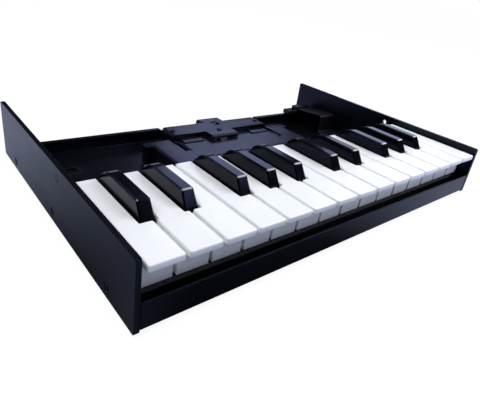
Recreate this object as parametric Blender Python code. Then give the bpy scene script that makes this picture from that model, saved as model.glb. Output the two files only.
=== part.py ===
"""Mini keyboard with a tilting dock, as an assembly of separate pieces.

Two octaves of sprung keys are hinged on one rod at the front of a folded sheet steel tray.
Behind them a fixed platform carries a tilting plate with a dock bracket for a sound module.

X runs across the keys, Y from the player to the rear, Z up. All sizes are in metres. The
tray is drawn from its front edge and the table top, and an empty then centres it over the
origin.
"""
import math

import bmesh
import bpy
from mathutils import Matrix, Vector

# Case: two side panels and a folded pan between them
WIDTH = 0.309
DEPTH = 0.2076
PANEL_HEIGHT = 0.0396
PANEL_THICKNESS = 0.0028
PANEL_CORNER = 0.0014
SHEET = 0.0012
BEND = 0.0012
RELIEF = 0.0019
RELIEF_WIDTH = 0.0006
FOOT_PROUD = 0.0016
PAN_SETBACK = 0.0008
PAN_RECESS = 0.0002
FRONT_FLANGE_HEIGHT = 0.0152
SIDE_FLANGE_HEIGHT = 0.010
REAR_WALL_SETBACK = 0.0172
REAR_WALL_HEIGHT = 0.0125
REAR_RETURN = 0.0052
REAR_NOTCH_LEFT = -0.0396
REAR_NOTCH_RIGHT = 0.0699
REAR_NOTCH_DEPTH = 0.0029

# Clearances between pieces
SEAT = 0.0003
PLAY = 0.0005

# Case fasteners, side holes and feet
PANEL_SCREW_RISE = 0.0061
PANEL_SCREW_FRONT = 0.027
PANEL_SCREW_PITCH = 0.075
PANEL_SCREW_HEAD = 0.0028
PANEL_SCREW_HEAD_DEPTH = 0.0014
PANEL_SCREW_RADIUS = 0.0015
SIDE_HOLE_RADIUS = 0.0022
SIDE_HOLE_BACK = 0.0105
SIDE_HOLE_DROP = 0.0067
FOOT_RADIUS = 0.006
FOOT_INSET_X = 0.024
FOOT_INSET_Y = 0.018

# White keys
OCTAVES = 2
WHITE_NOTES = "cdefgab"
KEYBED_SIDE_GAP = 0.0017
KEY_GAP = 0.0020
KEY_TOP_DROP = 0.0048
KEY_LENGTH = 0.080
KEY_LIP = 0.0035
KEY_OVERHANG = 0.010
KEY_DEPTH = 0.0194
SKIRT_INSET = 0.0001
KEY_WALL = 0.0016
KEY_CEILING = 0.0024
KEY_EDGE = 0.0008
KEY_CORNER = 0.0012
KEY_TRAVEL = 0.004

# Black keys, and how far each stands from the joint of the white keys before it
BLACK_FRONT = 0.0313
BLACK_SLOPE = 0.005
BLACK_RISE = 0.0086
BLACK_WIDTH = 0.0082
BLACK_TOP_WIDTH = 0.0072
BLACK_NOSE_LENGTH = 0.0164
BLACK_NOSE_DROP = 0.0123
NOTCH_GAP = 0.0009
NOTCH_FRONT_GAP = 0.0014
BLACK_SHIFT = {"c": -0.0029, "d": 0.0014, "f": -0.0031, "g": -0.0008, "a": 0.0021}

# Key hinge and its spring
PIVOT_BACK = 0.0065
PIVOT_DROP = 0.0217
ROD_RADIUS = 0.0013
TAIL_WIDTH = 0.005
TAIL_BACK = 0.0055
TAIL_HALF_HEIGHT = 0.0028
LEAF_THICKNESS = 0.0004
LEAF_WIDTH = 0.004
COMB_STRIP = 0.004
COMB_PIN_SHARES = (0.27, 0.8)
LEAF_REACH = 0.6
LEAF_LIFT = 0.0001
PAD_THICKNESS = 0.0015
PAD_DEPTH = 0.004

# Key chassis, contact board and stops
CHASSIS_FRONT = 0.012
CHASSIS_FLOOR = 0.002
CHASSIS_BEAM_END = 0.0292
REAR_BEAM_GAP = 0.0025
REAR_BEAM_WALL = 0.005
FELT_THICKNESS = 0.0015
FELT_DEPTH = 0.0115
POST_DEPTH = 0.003
POST_HEIGHT = 0.018
WHITE_POST_WIDTH = 0.005
BLACK_POST_WIDTH = 0.003
BOARD_FRONT = 0.0405
BOARD_DEPTH = 0.018
BOARD_THICKNESS = 0.0016
BOARD_PIN_SHARES = (0.3, 0.95)
ACTUATOR_FRONT = 0.045
ACTUATOR_DEPTH = 0.006
STRIP_THICKNESS = 0.0012
STRIP_DEPTH = 0.012
DOME_RADIUS = 0.0026

# Fixed platform behind the keys
PLATFORM_RISE = 0.0161
PLATFORM_HALF = 0.0685
PLATFORM_FRONT_GAP = 0.0015
PLATFORM_REAR = 0.151
PLATFORM_FOOT = 0.009
EAR_WIDTH = 0.0055
EAR_DEPTH = 0.0052
SLOT_WIDTH = 0.0045
SLOT_FRONT = 0.127
ARM_SLOT_INSET = 0.0051
ARM_SLOT_WIDTH = 0.0016
ARM_SLOT_LENGTH = 0.0055

# Tilting plate, its hinge and its two prop flaps
HINGE_Y = 0.112
HINGE_GAP = 0.0007
KNUCKLE_RADIUS = 0.0017
KNUCKLE_WIDTH = 0.012
KNUCKLE_WEB_INSET = 0.0002
HINGE_PIN_RADIUS = 0.0009
TILT_HALF = 0.0465
TILT_REAR = 0.164
TILT_FLANGE = 0.0042
FLAP_WIDTH = 0.0177
FLAP_LENGTH = 0.0086
FLAP_INNER = 0.0256
FLAP_Y = 0.1485
FLAP_PROUD = 0.0010
FLAP_LIP = 0.0016
FLAP_PIN_RADIUS = 0.0008
FLAP_EYE_RADIUS = 0.0016

# Dock bracket on the tilting plate
DOCK_RISE = 0.004
DOCK_FRONT = 0.149
DOCK_REAR = 0.1675
TONGUE_LEFT = -0.018
TONGUE_RIGHT = 0.0082
TONGUE_FRONT = 0.138
TAB_X = 0.002
TAB_HALF = 0.012
TAB_REAR = 0.176
TAB_SKIRT = 0.0045
HOOK_HOLE_Y = 0.1635
HOOK_HOLE_WIDTH = 0.0065
HOOK_HOLE_LENGTH = 0.008
SPACER_RADIUS = 0.0025
DOCK_SCREW_INSET = 0.0042
DOCK_SCREW_Y = 0.1585
CENTRE_SCREW_X = -0.004
CENTRE_SCREW_Y = 0.1491
LATCH_TRAVEL = 0.0039
LATCH_TIP_LEFT = -0.0117
LATCH_TIP_WIDTH = 0.0066
LATCH_TIP_PROUD = 0.002
LATCH_LEFT = -0.016
LATCH_RIGHT = 0.005
LATCH_DEPTH = 0.0125
SMALL_SCREW_RADIUS = 0.001
SMALL_HEAD_RADIUS = 0.0021
SMALL_HEAD_HEIGHT = 0.0009

# Guide block on the left panel
BLOCK_WIDTH = 0.0092
BLOCK_DEPTH = 0.0084
BLOCK_HEIGHT = 0.0062
BLOCK_RIM = 0.0011
BLOCK_POCKET = 0.0014

# Plug and flat lead of the dock
PLUG_SIDE_GAP = 0.0037
PLUG_WIDTH = 0.0345
PLUG_DEPTH = 0.009
PLUG_HEIGHT = 0.0043
CAP_HEIGHT = 0.0036
CAP_RIDGE = 0.0007
RIDGES = 4
RIBBON_WIDTH = 0.022
RIBBON_THICKNESS = 0.001
RIBBON_SIDE_GAP = 0.0027
RIBBON_CREST_Y = 0.1485
RIBBON_CREST_RISE = 0.0201
RIBBON_BEND = 0.0024
CLAMP_Y = 0.128
CLAMP_DEPTH = 0.006
CLAMP_WALL = 0.001

# Places that follow from the sizes above
TABLE = 0.0
PANEL_BOTTOM = TABLE + FOOT_PROUD
PANEL_TOP = PANEL_BOTTOM + PANEL_HEIGHT
INNER = WIDTH / 2 - PANEL_THICKNESS
PAN_HALF = INNER - SEAT
PAN_BOTTOM = PANEL_BOTTOM + PAN_SETBACK
FLOOR = PAN_BOTTOM + SHEET
REAR_WALL_Y = DEPTH - REAR_WALL_SETBACK
REAR_WALL_TOP = PAN_BOTTOM + REAR_WALL_HEIGHT
WHITE_COUNT = OCTAVES * len(WHITE_NOTES) + 1
KEY_PITCH = (INNER - KEYBED_SIDE_GAP) * 2 / WHITE_COUNT
KEY_TOP = PANEL_TOP - KEY_TOP_DROP
BLACK_NOSE_START = KEY_LENGTH - SKIRT_INSET - BLACK_NOSE_LENGTH
NOTCH_Y = BLACK_FRONT - NOTCH_FRONT_GAP
NOTCH_WALL_Y = NOTCH_Y - SKIRT_INSET - KEY_WALL
PIVOT_Y = KEY_LENGTH + PIVOT_BACK
PIVOT_Z = KEY_TOP - PIVOT_DROP
SKIRT_BOTTOM = KEY_TOP - KEY_DEPTH
CHASSIS_BOTTOM = FLOOR + SEAT
CHASSIS_PLATE = CHASSIS_BOTTOM + CHASSIS_FLOOR
CHASSIS_HALF = PAN_HALF - SHEET - PLAY
REAR_BEAM_FRONT = KEY_LENGTH + REAR_BEAM_GAP
REAR_BEAM_END = PIVOT_Y + TAIL_BACK + PLAY + REAR_BEAM_WALL
TAIL_TOP = PIVOT_Z + TAIL_HALF_HEIGHT
PLATFORM_FRONT = REAR_BEAM_END + PLATFORM_FRONT_GAP
PLATFORM_TOP = FLOOR + PLATFORM_RISE
HINGE_Z = PLATFORM_TOP - SHEET - SEAT - KNUCKLE_RADIUS
ARM_INNER = TILT_HALF + SLOT_WIDTH
ARM_SLOT_X = ARM_INNER + ARM_SLOT_INSET
DOCK_HALF = TILT_HALF + SHEET + SEAT
DOCK_SCREW_X = DOCK_HALF - DOCK_SCREW_INSET
DOCK_TOP = PLATFORM_TOP + DOCK_RISE
FLAP_Z = PLATFORM_TOP - SHEET - SEAT - FLAP_PIN_RADIUS
SIDE_HOLE_Y = KEY_LENGTH + SIDE_HOLE_BACK
SIDE_HOLE_Z = PANEL_TOP - SIDE_HOLE_DROP
PLUG_LEFT = INNER - PLUG_SIDE_GAP - PLUG_WIDTH
RIBBON_RIGHT = INNER - RIBBON_SIDE_GAP

FINISHES = {
    "black_steel": ((0.030, 0.033, 0.045), 0.42, 0.6),
    "black_plastic": ((0.020, 0.020, 0.022), 0.45, 0.0),
    "white_plastic": ((0.860, 0.880, 0.900), 0.30, 0.0),
    "key_black": ((0.018, 0.018, 0.020), 0.35, 0.0),
    "bright_steel": ((0.620, 0.620, 0.640), 0.30, 1.0),
    "black_zinc": ((0.060, 0.062, 0.070), 0.35, 0.9),
    "rubber": ((0.016, 0.016, 0.017), 0.80, 0.0),
    "felt": ((0.022, 0.022, 0.026), 0.95, 0.0),
    "board_green": ((0.015, 0.110, 0.045), 0.45, 0.0),
    "ribbon_black": ((0.035, 0.035, 0.042), 0.55, 0.0),
}


def clear_scene():
    """Remove every object that the scene holds."""
    for item in list(bpy.data.objects):
        bpy.data.objects.remove(item, do_unlink=True)


def make_finish(name):
    """Make the material of one finish."""
    colour, roughness, metallic = FINISHES[name]
    material = bpy.data.materials.new(name)
    material.use_nodes = True
    shader = material.node_tree.nodes["Principled BSDF"]
    shader.inputs["Base Color"].default_value = (*colour, 1.0)
    shader.inputs["Roughness"].default_value = roughness
    shader.inputs["Metallic"].default_value = metallic
    material.diffuse_color = (*colour, 1.0)
    return material


def prism(points, axis, low, high):
    """Extrude a flat outline along one axis.

    The outline's pairs are (y, z) along X, (x, z) along Y and (x, y) along Z.
    """
    bm = bmesh.new()
    place = {
        "X": lambda a, b: (low, a, b),
        "Y": lambda a, b: (a, low, b),
        "Z": lambda a, b: (a, b, low),
    }[axis]
    step = {"X": (high - low, 0, 0), "Y": (0, high - low, 0), "Z": (0, 0, high - low)}[axis]
    base = bm.faces.new([bm.verts.new(place(a, b)) for a, b in points])
    swept = bmesh.ops.extrude_face_region(bm, geom=[base], use_keep_orig=True)
    moved = [v for v in swept["geom"] if isinstance(v, bmesh.types.BMVert)]
    bmesh.ops.translate(bm, verts=moved, vec=step)
    bmesh.ops.recalc_face_normals(bm, faces=bm.faces[:])
    return bm


def box(x, y, z):
    """Make a box from its (low, high) pair along each axis."""
    bm = bmesh.new()
    size = [pair[1] - pair[0] for pair in (x, y, z)]
    centre = [(pair[1] + pair[0]) / 2 for pair in (x, y, z)]
    bmesh.ops.create_cube(bm, size=1.0)
    bmesh.ops.scale(bm, verts=bm.verts[:], vec=size)
    bmesh.ops.translate(bm, verts=bm.verts[:], vec=centre)
    return bm


def turned(profile, segments=12):
    """Turn a profile of (radius, height) pairs about the Z axis."""
    bm = bmesh.new()
    verts = [bm.verts.new((radius, 0, height)) for radius, height in profile]
    edges = [bm.edges.new(pair) for pair in zip(verts, verts[1:])]
    bmesh.ops.spin(
        bm, geom=verts + edges, cent=(0, 0, 0), axis=(0, 0, 1),
        angle=math.tau, steps=segments, use_merge=True,
    )
    bmesh.ops.remove_doubles(bm, verts=bm.verts[:], dist=1e-6)
    bmesh.ops.recalc_face_normals(bm, faces=bm.faces[:])
    return bm


def rod_along_x(radius, low, high, y, z, segments=12):
    """Make a round bar along X, centred on the line through (y, z)."""
    bm = turned([(0, low), (radius, low), (radius, high), (0, high)], segments)
    turn = Matrix.Translation((0, y, z)) @ Matrix.Rotation(math.radians(90), 4, "Y")
    bmesh.ops.transform(bm, matrix=turn, verts=bm.verts[:])
    return bm


def rod_along_z(radius, x, y, low, high, segments=12):
    """Make a round upright bar centred on (x, y)."""
    bm = turned([(0, low), (radius, low), (radius, high), (0, high)], segments)
    bmesh.ops.translate(bm, verts=bm.verts[:], vec=(x, y, 0))
    return bm


def gather(parts):
    """Put several meshes into one, as separate bodies."""
    whole = bmesh.new()
    for bm in parts:
        mesh = bpy.data.meshes.new("part")
        bm.to_mesh(mesh)
        whole.from_mesh(mesh)
        bpy.data.meshes.remove(mesh)
        bm.free()
    return whole


def temporary_object(bm, name):
    """Wrap a mesh in an object for a modifier to work on."""
    mesh = bpy.data.meshes.new(name)
    bm.to_mesh(mesh)
    bm.free()
    item = bpy.data.objects.new(name, mesh)
    bpy.context.scene.collection.objects.link(item)
    return item


def evaluated(item):
    """Return an object's mesh with its modifiers applied, and remove the object."""
    graph = bpy.context.evaluated_depsgraph_get()
    mesh = bpy.data.meshes.new_from_object(item.evaluated_get(graph))
    bm = bmesh.new()
    bm.from_mesh(mesh)
    bpy.data.meshes.remove(mesh)
    source = item.data
    bpy.data.objects.remove(item, do_unlink=True)
    bpy.data.meshes.remove(source)
    return bm


def combine(body, tools, operation):
    """Join tools to a body or cut them out of it."""
    item = temporary_object(body, "body")
    cutter = temporary_object(gather(tools), "tool")
    modifier = item.modifiers.new("combine", "BOOLEAN")
    modifier.operation = operation
    modifier.solver = "EXACT"
    modifier.use_self = True
    modifier.object = cutter
    result = evaluated(item)
    mesh = cutter.data
    bpy.data.objects.remove(cutter, do_unlink=True)
    bpy.data.meshes.remove(mesh)
    bmesh.ops.dissolve_limit(
        result, angle_limit=math.radians(0.1), verts=result.verts[:], edges=result.edges[:],
    )
    return result


def cut(body, tools):
    """Cut every tool out of a body."""
    return combine(body, tools, "DIFFERENCE")


def join(body, tools):
    """Fuse every tool with a body."""
    return combine(body, tools, "UNION")


def folded_sheet(panels, radius=BEND):
    """Fold a sheet from flat panels given on its middle surface.

    Each panel is a list of corners. Panels that share an edge are welded there, the fold is
    rounded, and the sheet then gets its thickness.
    """
    bm = bmesh.new()
    for corners in panels:
        bm.faces.new([bm.verts.new(corner) for corner in corners])
    bmesh.ops.remove_doubles(bm, verts=bm.verts[:], dist=1e-6)
    bmesh.ops.recalc_face_normals(bm, faces=bm.faces[:])
    folds = [edge for edge in bm.edges if len(edge.link_faces) == 2]
    bmesh.ops.bevel(
        bm, geom=folds, offset=radius, segments=2, profile=0.5, affect="EDGES", material=-1,
    )
    item = temporary_object(bm, "sheet")
    wall = item.modifiers.new("sheet", "SOLIDIFY")
    wall.thickness = SHEET
    wall.offset = 0.0
    wall.use_even_offset = True
    solid = evaluated(item)
    bmesh.ops.recalc_face_normals(solid, faces=solid.faces[:])
    return solid


def end_relief(x, edge, y, inward, side=1):
    """Return the notch that frees a side fold from the flange across its end.

    The corner at (x, y) belongs to the flange, which runs on to its edge. The notch lies
    on the inward side of it, and the side tells which way the free edge faces.
    """
    near = y + inward * RELIEF
    far = y + inward * (RELIEF + RELIEF_WIDTH)
    inner = x - side * RELIEF
    return [(x, far), (inner, far), (inner, near), (edge, near), (edge, y)]


def mirrored(panels):
    """Repeat panels on the other side of the middle plane."""
    return panels + [[(-x, y, z) for x, y, z in reversed(corners)] for corners in panels]


def headed_pin(x, y, root, seat):
    """Make an upright pin from its root to the seat of the head that is formed on its end."""
    side = 1 if seat > root else -1
    end = seat + side * SMALL_HEAD_HEIGHT
    bevel = seat + side * SMALL_HEAD_HEIGHT / 2
    pin = turned(
        [(0, root), (SMALL_SCREW_RADIUS, root), (SMALL_SCREW_RADIUS, seat),
         (SMALL_HEAD_RADIUS, seat), (SMALL_HEAD_RADIUS, bevel), (SMALL_HEAD_RADIUS * 0.8, end),
         (0, end)], 10)
    return moved(pin, (x, y, 0))


def countersunk(head, depth, radius, length, segments=12):
    """Make a countersunk screw along Z with its flat face at zero."""
    return turned([(0, 0), (head, 0), (radius, -depth), (radius, -length), (0, -length)], segments)


def screw_hole(x, y, low, high):
    """Make the cutter of a small upright hole with room for its screw or pin."""
    return rod_along_z(SMALL_SCREW_RADIUS + SEAT, x, y, low, high, 10)


def moved(bm, location, turn=None):
    """Turn a mesh about the origin and then move it."""
    matrix = Matrix.Translation(location)
    if turn is not None:
        matrix = matrix @ turn
    bmesh.ops.transform(bm, matrix=matrix, verts=bm.verts[:])
    return bm


class Assembly:
    """Places finished pieces over the tray's centre and keeps their finishes."""

    def __init__(self):
        self.finishes = {name: make_finish(name) for name in FINISHES}
        self.tray = bpy.data.objects.new("tray_front", None)
        self.tray.location = (0, -DEPTH / 2, 0)
        bpy.context.scene.collection.objects.link(self.tray)

    def add(self, name, bm, finish, origin=(0, 0, 0), round_edges=30):
        """Make an object whose origin is at a point of the tray's frame."""
        bmesh.ops.translate(bm, verts=bm.verts[:], vec=-Vector(origin))
        mesh = bpy.data.meshes.new(name)
        bm.to_mesh(mesh)
        bm.free()
        mesh.materials.append(self.finishes[finish])
        mesh.shade_smooth()
        mesh.set_sharp_from_angle(angle=math.radians(round_edges))
        return self.place(name, mesh, origin)

    def place(self, name, mesh, origin, turn=0.0):
        """Make an object of a finished mesh, turned about the Y axis."""
        item = bpy.data.objects.new(name, mesh)
        item.parent = self.tray
        item.location = origin
        item.rotation_euler = (0, turn, 0)
        bpy.context.scene.collection.objects.link(item)
        return item


class Key:
    """One key's place: its note, its middle, and the part beside the black keys."""

    def __init__(self, name, is_black, centre, left, right):
        self.name = name
        self.is_black = is_black
        self.centre = centre
        self.left = left
        self.right = right

    @property
    def tail_x(self):
        """Middle of the tail, which follows the part of the key beside the black keys."""
        return (self.left + self.right) / 2


def lay_out_keys():
    """Return the keys from left to right, a black one after each white one that has it."""
    start = -WHITE_COUNT * KEY_PITCH / 2
    whites = []
    blacks = {}
    for index in range(WHITE_COUNT):
        note = WHITE_NOTES[index % len(WHITE_NOTES)]
        octave = index // len(WHITE_NOTES) + 1
        whites.append((note, octave, start + index * KEY_PITCH))
        if note in BLACK_SHIFT and index < WHITE_COUNT - 1:
            blacks[index] = start + (index + 1) * KEY_PITCH + BLACK_SHIFT[note]
    half = BLACK_WIDTH / 2
    keys = []
    for index, (note, octave, low) in enumerate(whites):
        left = low + KEY_GAP / 2
        right = low + KEY_PITCH - KEY_GAP / 2
        if index - 1 in blacks:
            left = blacks[index - 1] + half + NOTCH_GAP
        if index in blacks:
            right = blacks[index] - half - NOTCH_GAP
        keys.append(Key(f"white_key_{note}{octave}", False, low + KEY_PITCH / 2, left, right))
        if index in blacks:
            x = blacks[index]
            keys.append(Key(f"black_key_{note}s{octave}", True, x, x - half, x + half))
    return keys


def key_tail(x, rear):
    """Make the tongue that runs from a key's rear wall to its pivot, with no bore."""
    low = PIVOT_Z - TAIL_HALF_HEIGHT
    root = rear - KEY_WALL
    knee = SKIRT_BOTTOM + TAIL_HALF_HEIGHT * 2
    outline = [
        (root, low), (PIVOT_Y + TAIL_BACK, low), (PIVOT_Y + TAIL_BACK, TAIL_TOP),
        (PIVOT_Y, TAIL_TOP), (rear, knee), (root, knee),
    ]
    return prism(outline, "X", x - TAIL_WIDTH / 2, x + TAIL_WIDTH / 2)


def pivot_bore(x):
    """Make the cutter for the hole that the pivot rod passes through."""
    reach = TAIL_WIDTH
    return rod_along_x(ROD_RADIUS + SEAT, x - reach, x + reach, PIVOT_Y, PIVOT_Z, 10)


def white_outline(key, inset, front, rear):
    """Return a white key's outline from above, drawn in by a margin."""
    half = (KEY_PITCH - KEY_GAP) / 2
    left, right = key.centre - half + inset, key.centre + half - inset
    neck_left, neck_right = key.left + inset, key.right - inset
    notch = NOTCH_Y - inset
    points = [(left, front), (right, front)]
    if neck_right < right - 1e-6:
        points += [(right, notch), (neck_right, notch)]
    points += [(neck_right, rear), (neck_left, rear)]
    if neck_left > left + 1e-6:
        points += [(neck_left, notch), (left, notch)]
    return points


def white_key(key):
    """Model a white key: a thin lipped top on a hollow skirt, with its hinge tail."""
    plate = prism(white_outline(key, 0, 0, KEY_LENGTH), "Z", KEY_TOP - KEY_LIP, KEY_TOP)
    corners = [edge for edge in plate.edges if all(v.co.y < KEY_EDGE for v in edge.verts)
               and abs(edge.verts[0].co.x - edge.verts[1].co.x) < KEY_EDGE]
    bmesh.ops.bevel(
        plate, geom=corners, offset=KEY_CORNER, segments=2, profile=0.5, affect="EDGES",
        material=-1,
    )
    top_edges = [
        edge for edge in plate.edges if all(v.co.z > KEY_TOP - 1e-6 for v in edge.verts)
    ]
    bmesh.ops.bevel(
        plate, geom=top_edges, offset=KEY_EDGE, segments=1, profile=0.5, affect="EDGES",
        material=-1,
    )
    rear = KEY_LENGTH - SKIRT_INSET
    skirt = prism(
        white_outline(key, SKIRT_INSET, KEY_OVERHANG, rear), "Z",
        SKIRT_BOTTOM, KEY_TOP - KEY_LIP / 2)
    half = (KEY_PITCH - KEY_GAP) / 2
    wall = SKIRT_INSET + KEY_WALL
    height = (SKIRT_BOTTOM - KEY_WALL, KEY_TOP - KEY_CEILING)
    neck = (key.left + wall, key.right - wall)
    hollows = [
        box((key.centre - half + wall, key.centre + half - wall),
            (KEY_OVERHANG + KEY_WALL, NOTCH_WALL_Y), height),
        box(neck, (BLACK_FRONT + KEY_WALL, ACTUATOR_FRONT), height),
        box(neck, (ACTUATOR_FRONT + ACTUATOR_DEPTH, rear - KEY_WALL * 2), height),
    ]
    body = join(plate, [skirt])
    body = cut(body, hollows)
    body = join(body, [key_tail(key.tail_x, rear)])
    return cut(body, [pivot_bore(key.tail_x)])


def black_key(key):
    """Model a black key: a sloped front, a flat top that falls away at the rear, a tail."""
    top = KEY_TOP + BLACK_RISE
    steps = 6
    nose = []
    for step in range(steps + 1):
        angle = step / steps * math.pi / 2
        nose.append((
            BLACK_NOSE_START + BLACK_NOSE_LENGTH * math.sin(angle),
            top - BLACK_NOSE_DROP * (1 - math.cos(angle)),
        ))
    rear = nose[-1][0]
    outline = [
        (BLACK_FRONT, SKIRT_BOTTOM), (BLACK_FRONT, KEY_TOP), (BLACK_FRONT + BLACK_SLOPE, top),
        *nose, (rear, SKIRT_BOTTOM),
    ]
    half = BLACK_WIDTH / 2
    body = prism(outline, "X", -half, half)
    taper = (BLACK_WIDTH - BLACK_TOP_WIDTH) / BLACK_WIDTH
    for vert in body.verts:
        rise = max(0.0, vert.co.z - KEY_TOP) / BLACK_RISE
        vert.co.x *= 1 - taper * rise
    crown = [
        edge for edge in body.edges
        if all(v.co.z > KEY_TOP + SEAT for v in edge.verts)
        and abs(edge.verts[0].co.x - edge.verts[1].co.x) < BLACK_WIDTH / 2
        and abs(edge.verts[0].co.y - edge.verts[1].co.y) > 1e-6
    ]
    bmesh.ops.bevel(
        body, geom=crown, offset=KEY_EDGE, segments=1, profile=0.5, affect="EDGES",
        material=-1,
    )
    moved(body, (key.centre, 0, 0))
    inside = (key.centre - half + KEY_WALL, key.centre + half - KEY_WALL)
    height = (SKIRT_BOTTOM - KEY_WALL, KEY_TOP)
    hollows = [
        box(inside, (BLACK_FRONT + KEY_WALL, ACTUATOR_FRONT), height),
        box(inside, (ACTUATOR_FRONT + ACTUATOR_DEPTH, rear - KEY_WALL * 2), height),
    ]
    body = cut(body, hollows)
    body = join(body, [key_tail(key.centre, rear)])
    return cut(body, [pivot_bore(key.centre)])


def add_keys(assembly, keys):
    """Add every key, each with its origin on the pivot rod."""
    for key in keys:
        bm = black_key(key) if key.is_black else white_key(key)
        finish = "key_black" if key.is_black else "white_plastic"
        assembly.add(key.name, bm, finish, (key.centre, PIVOT_Y, PIVOT_Z))


def pressed_drop(y):
    """Return how far a key's underside sinks at a distance from the front."""
    return KEY_TRAVEL * (PIVOT_Y - y) / PIVOT_Y


def chassis_heights():
    """Return the tops of the stop felt and of the beam that carries it."""
    felt_top = SKIRT_BOTTOM - pressed_drop(CHASSIS_FRONT) - SEAT
    return felt_top, felt_top - FELT_THICKNESS - SEAT


def pocket_floor():
    """Return the height of the pockets that the key tails move in."""
    return PIVOT_Z - TAIL_HALF_HEIGHT - SEAT - PAD_THICKNESS - SEAT


def beam_top():
    """Return the height of the rear beam, just clear of the tails."""
    return TAIL_TOP + SEAT * 2


def rest_felt_place():
    """Return the front, rear and underside of the felt that the resting tails lie on."""
    rear = PIVOT_Y + TAIL_BACK
    return rear - PAD_DEPTH, rear, pocket_floor() + SEAT


def chassis_pin_places():
    """Return where the chassis is fixed to the pan."""
    across = CHASSIS_HALF - CHASSIS_FRONT
    return [(x, y) for x in (-across, across) for y in (CHASSIS_FRONT * 2, REAR_BEAM_END - PAD_DEPTH)]


def comb_pin_places():
    """Return where the spring comb is fixed to the rear beam."""
    y = REAR_BEAM_END - COMB_STRIP / 2
    return [(side * part * CHASSIS_HALF, y) for side in (-1, 1) for part in COMB_PIN_SHARES]


def board_pin_places():
    """Return where the contact board is fixed to the chassis."""
    y = BOARD_FRONT + BOARD_DEPTH - SMALL_HEAD_RADIUS - PLAY
    return [(side * part * CHASSIS_HALF, y) for side in (-1, 1) for part in BOARD_PIN_SHARES]


def add_chassis(assembly, keys):
    """Add the moulded frame that holds the pivot rod, the stops and the contact board."""
    felt_top, front_beam = chassis_heights()
    outline = [
        (CHASSIS_FRONT, CHASSIS_BOTTOM), (REAR_BEAM_END, CHASSIS_BOTTOM),
        (REAR_BEAM_END, beam_top()), (REAR_BEAM_FRONT, beam_top()),
        (REAR_BEAM_FRONT, CHASSIS_PLATE), (CHASSIS_BEAM_END, CHASSIS_PLATE),
        (CHASSIS_BEAM_END, front_beam), (CHASSIS_FRONT, front_beam),
    ]
    frame = prism(outline, "X", -CHASSIS_HALF, CHASSIS_HALF)
    reach = TAIL_WIDTH / 2 + PLAY
    over = beam_top() + PAD_THICKNESS
    pockets = [
        box((key.tail_x - reach, key.tail_x + reach),
            (REAR_BEAM_FRONT - PAD_DEPTH, PIVOT_Y + TAIL_BACK + PLAY),
            (pocket_floor(), over))
        for key in keys
    ]
    frame = cut(frame, pockets)
    bore = ROD_RADIUS + SEAT
    cradle = [(PIVOT_Y + bore, over), (PIVOT_Y - bore, over), (PIVOT_Y - bore, PIVOT_Z)]
    cradle += [
        (PIVOT_Y - bore * math.cos(angle), PIVOT_Z - bore * math.sin(angle))
        for angle in (math.pi / 4, math.pi / 2, 3 * math.pi / 4)
    ]
    cradle.append((PIVOT_Y + bore, PIVOT_Z))
    pad_front, pad_rear, pad_low = rest_felt_place()
    tunnel = box(
        (-WIDTH, WIDTH), (pad_front - PLAY / 2, pad_rear + PLAY / 2),
        (pocket_floor(), pad_low + PAD_THICKNESS + SEAT))
    frame = cut(frame, [prism(cradle, "X", -WIDTH, WIDTH), tunnel])
    posts = []
    for x, y in chassis_pin_places():
        posts.append(headed_pin(x, y, CHASSIS_BOTTOM + CHASSIS_FLOOR / 2, PAN_BOTTOM - SEAT))
    for x, y in comb_pin_places():
        posts.append(headed_pin(
            x, y, beam_top() - COMB_STRIP / 2, beam_top() + SEAT * 2 + LEAF_THICKNESS))
    for x, y in board_pin_places():
        posts.append(headed_pin(
            x, y, CHASSIS_PLATE - CHASSIS_FLOOR / 2, CHASSIS_PLATE + BOARD_THICKNESS + SEAT * 2))
    for key in keys:
        width = BLACK_POST_WIDTH if key.is_black else WHITE_POST_WIDTH
        y = BLACK_FRONT + KEY_WALL * 3 if key.is_black else NOTCH_WALL_Y - NOTCH_GAP - POST_DEPTH
        posts.append(box(
            (key.centre - width / 2, key.centre + width / 2), (y, y + POST_DEPTH),
            (CHASSIS_BOTTOM + CHASSIS_FLOOR / 2, CHASSIS_PLATE + POST_HEIGHT)))
    frame = join(frame, posts)
    assembly.add("key_chassis", frame, "black_plastic")

    length = PAN_HALF - SHEET - SEAT
    rod = rod_along_x(ROD_RADIUS, -length, length, PIVOT_Y, PIVOT_Z, 10)
    assembly.add("key_pivot_rod", rod, "bright_steel", (0, PIVOT_Y, PIVOT_Z))

    felt = box(
        (-CHASSIS_HALF, CHASSIS_HALF), (CHASSIS_FRONT, CHASSIS_FRONT + FELT_DEPTH),
        (front_beam + SEAT, felt_top))
    assembly.add("down_stop_felt", felt, "felt", (0, CHASSIS_FRONT, front_beam))

    pad = box(
        (-CHASSIS_HALF, CHASSIS_HALF), (pad_front, pad_rear), (pad_low, pad_low + PAD_THICKNESS))
    assembly.add("rest_felt", pad, "felt", (0, pad_rear, pad_low))


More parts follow.
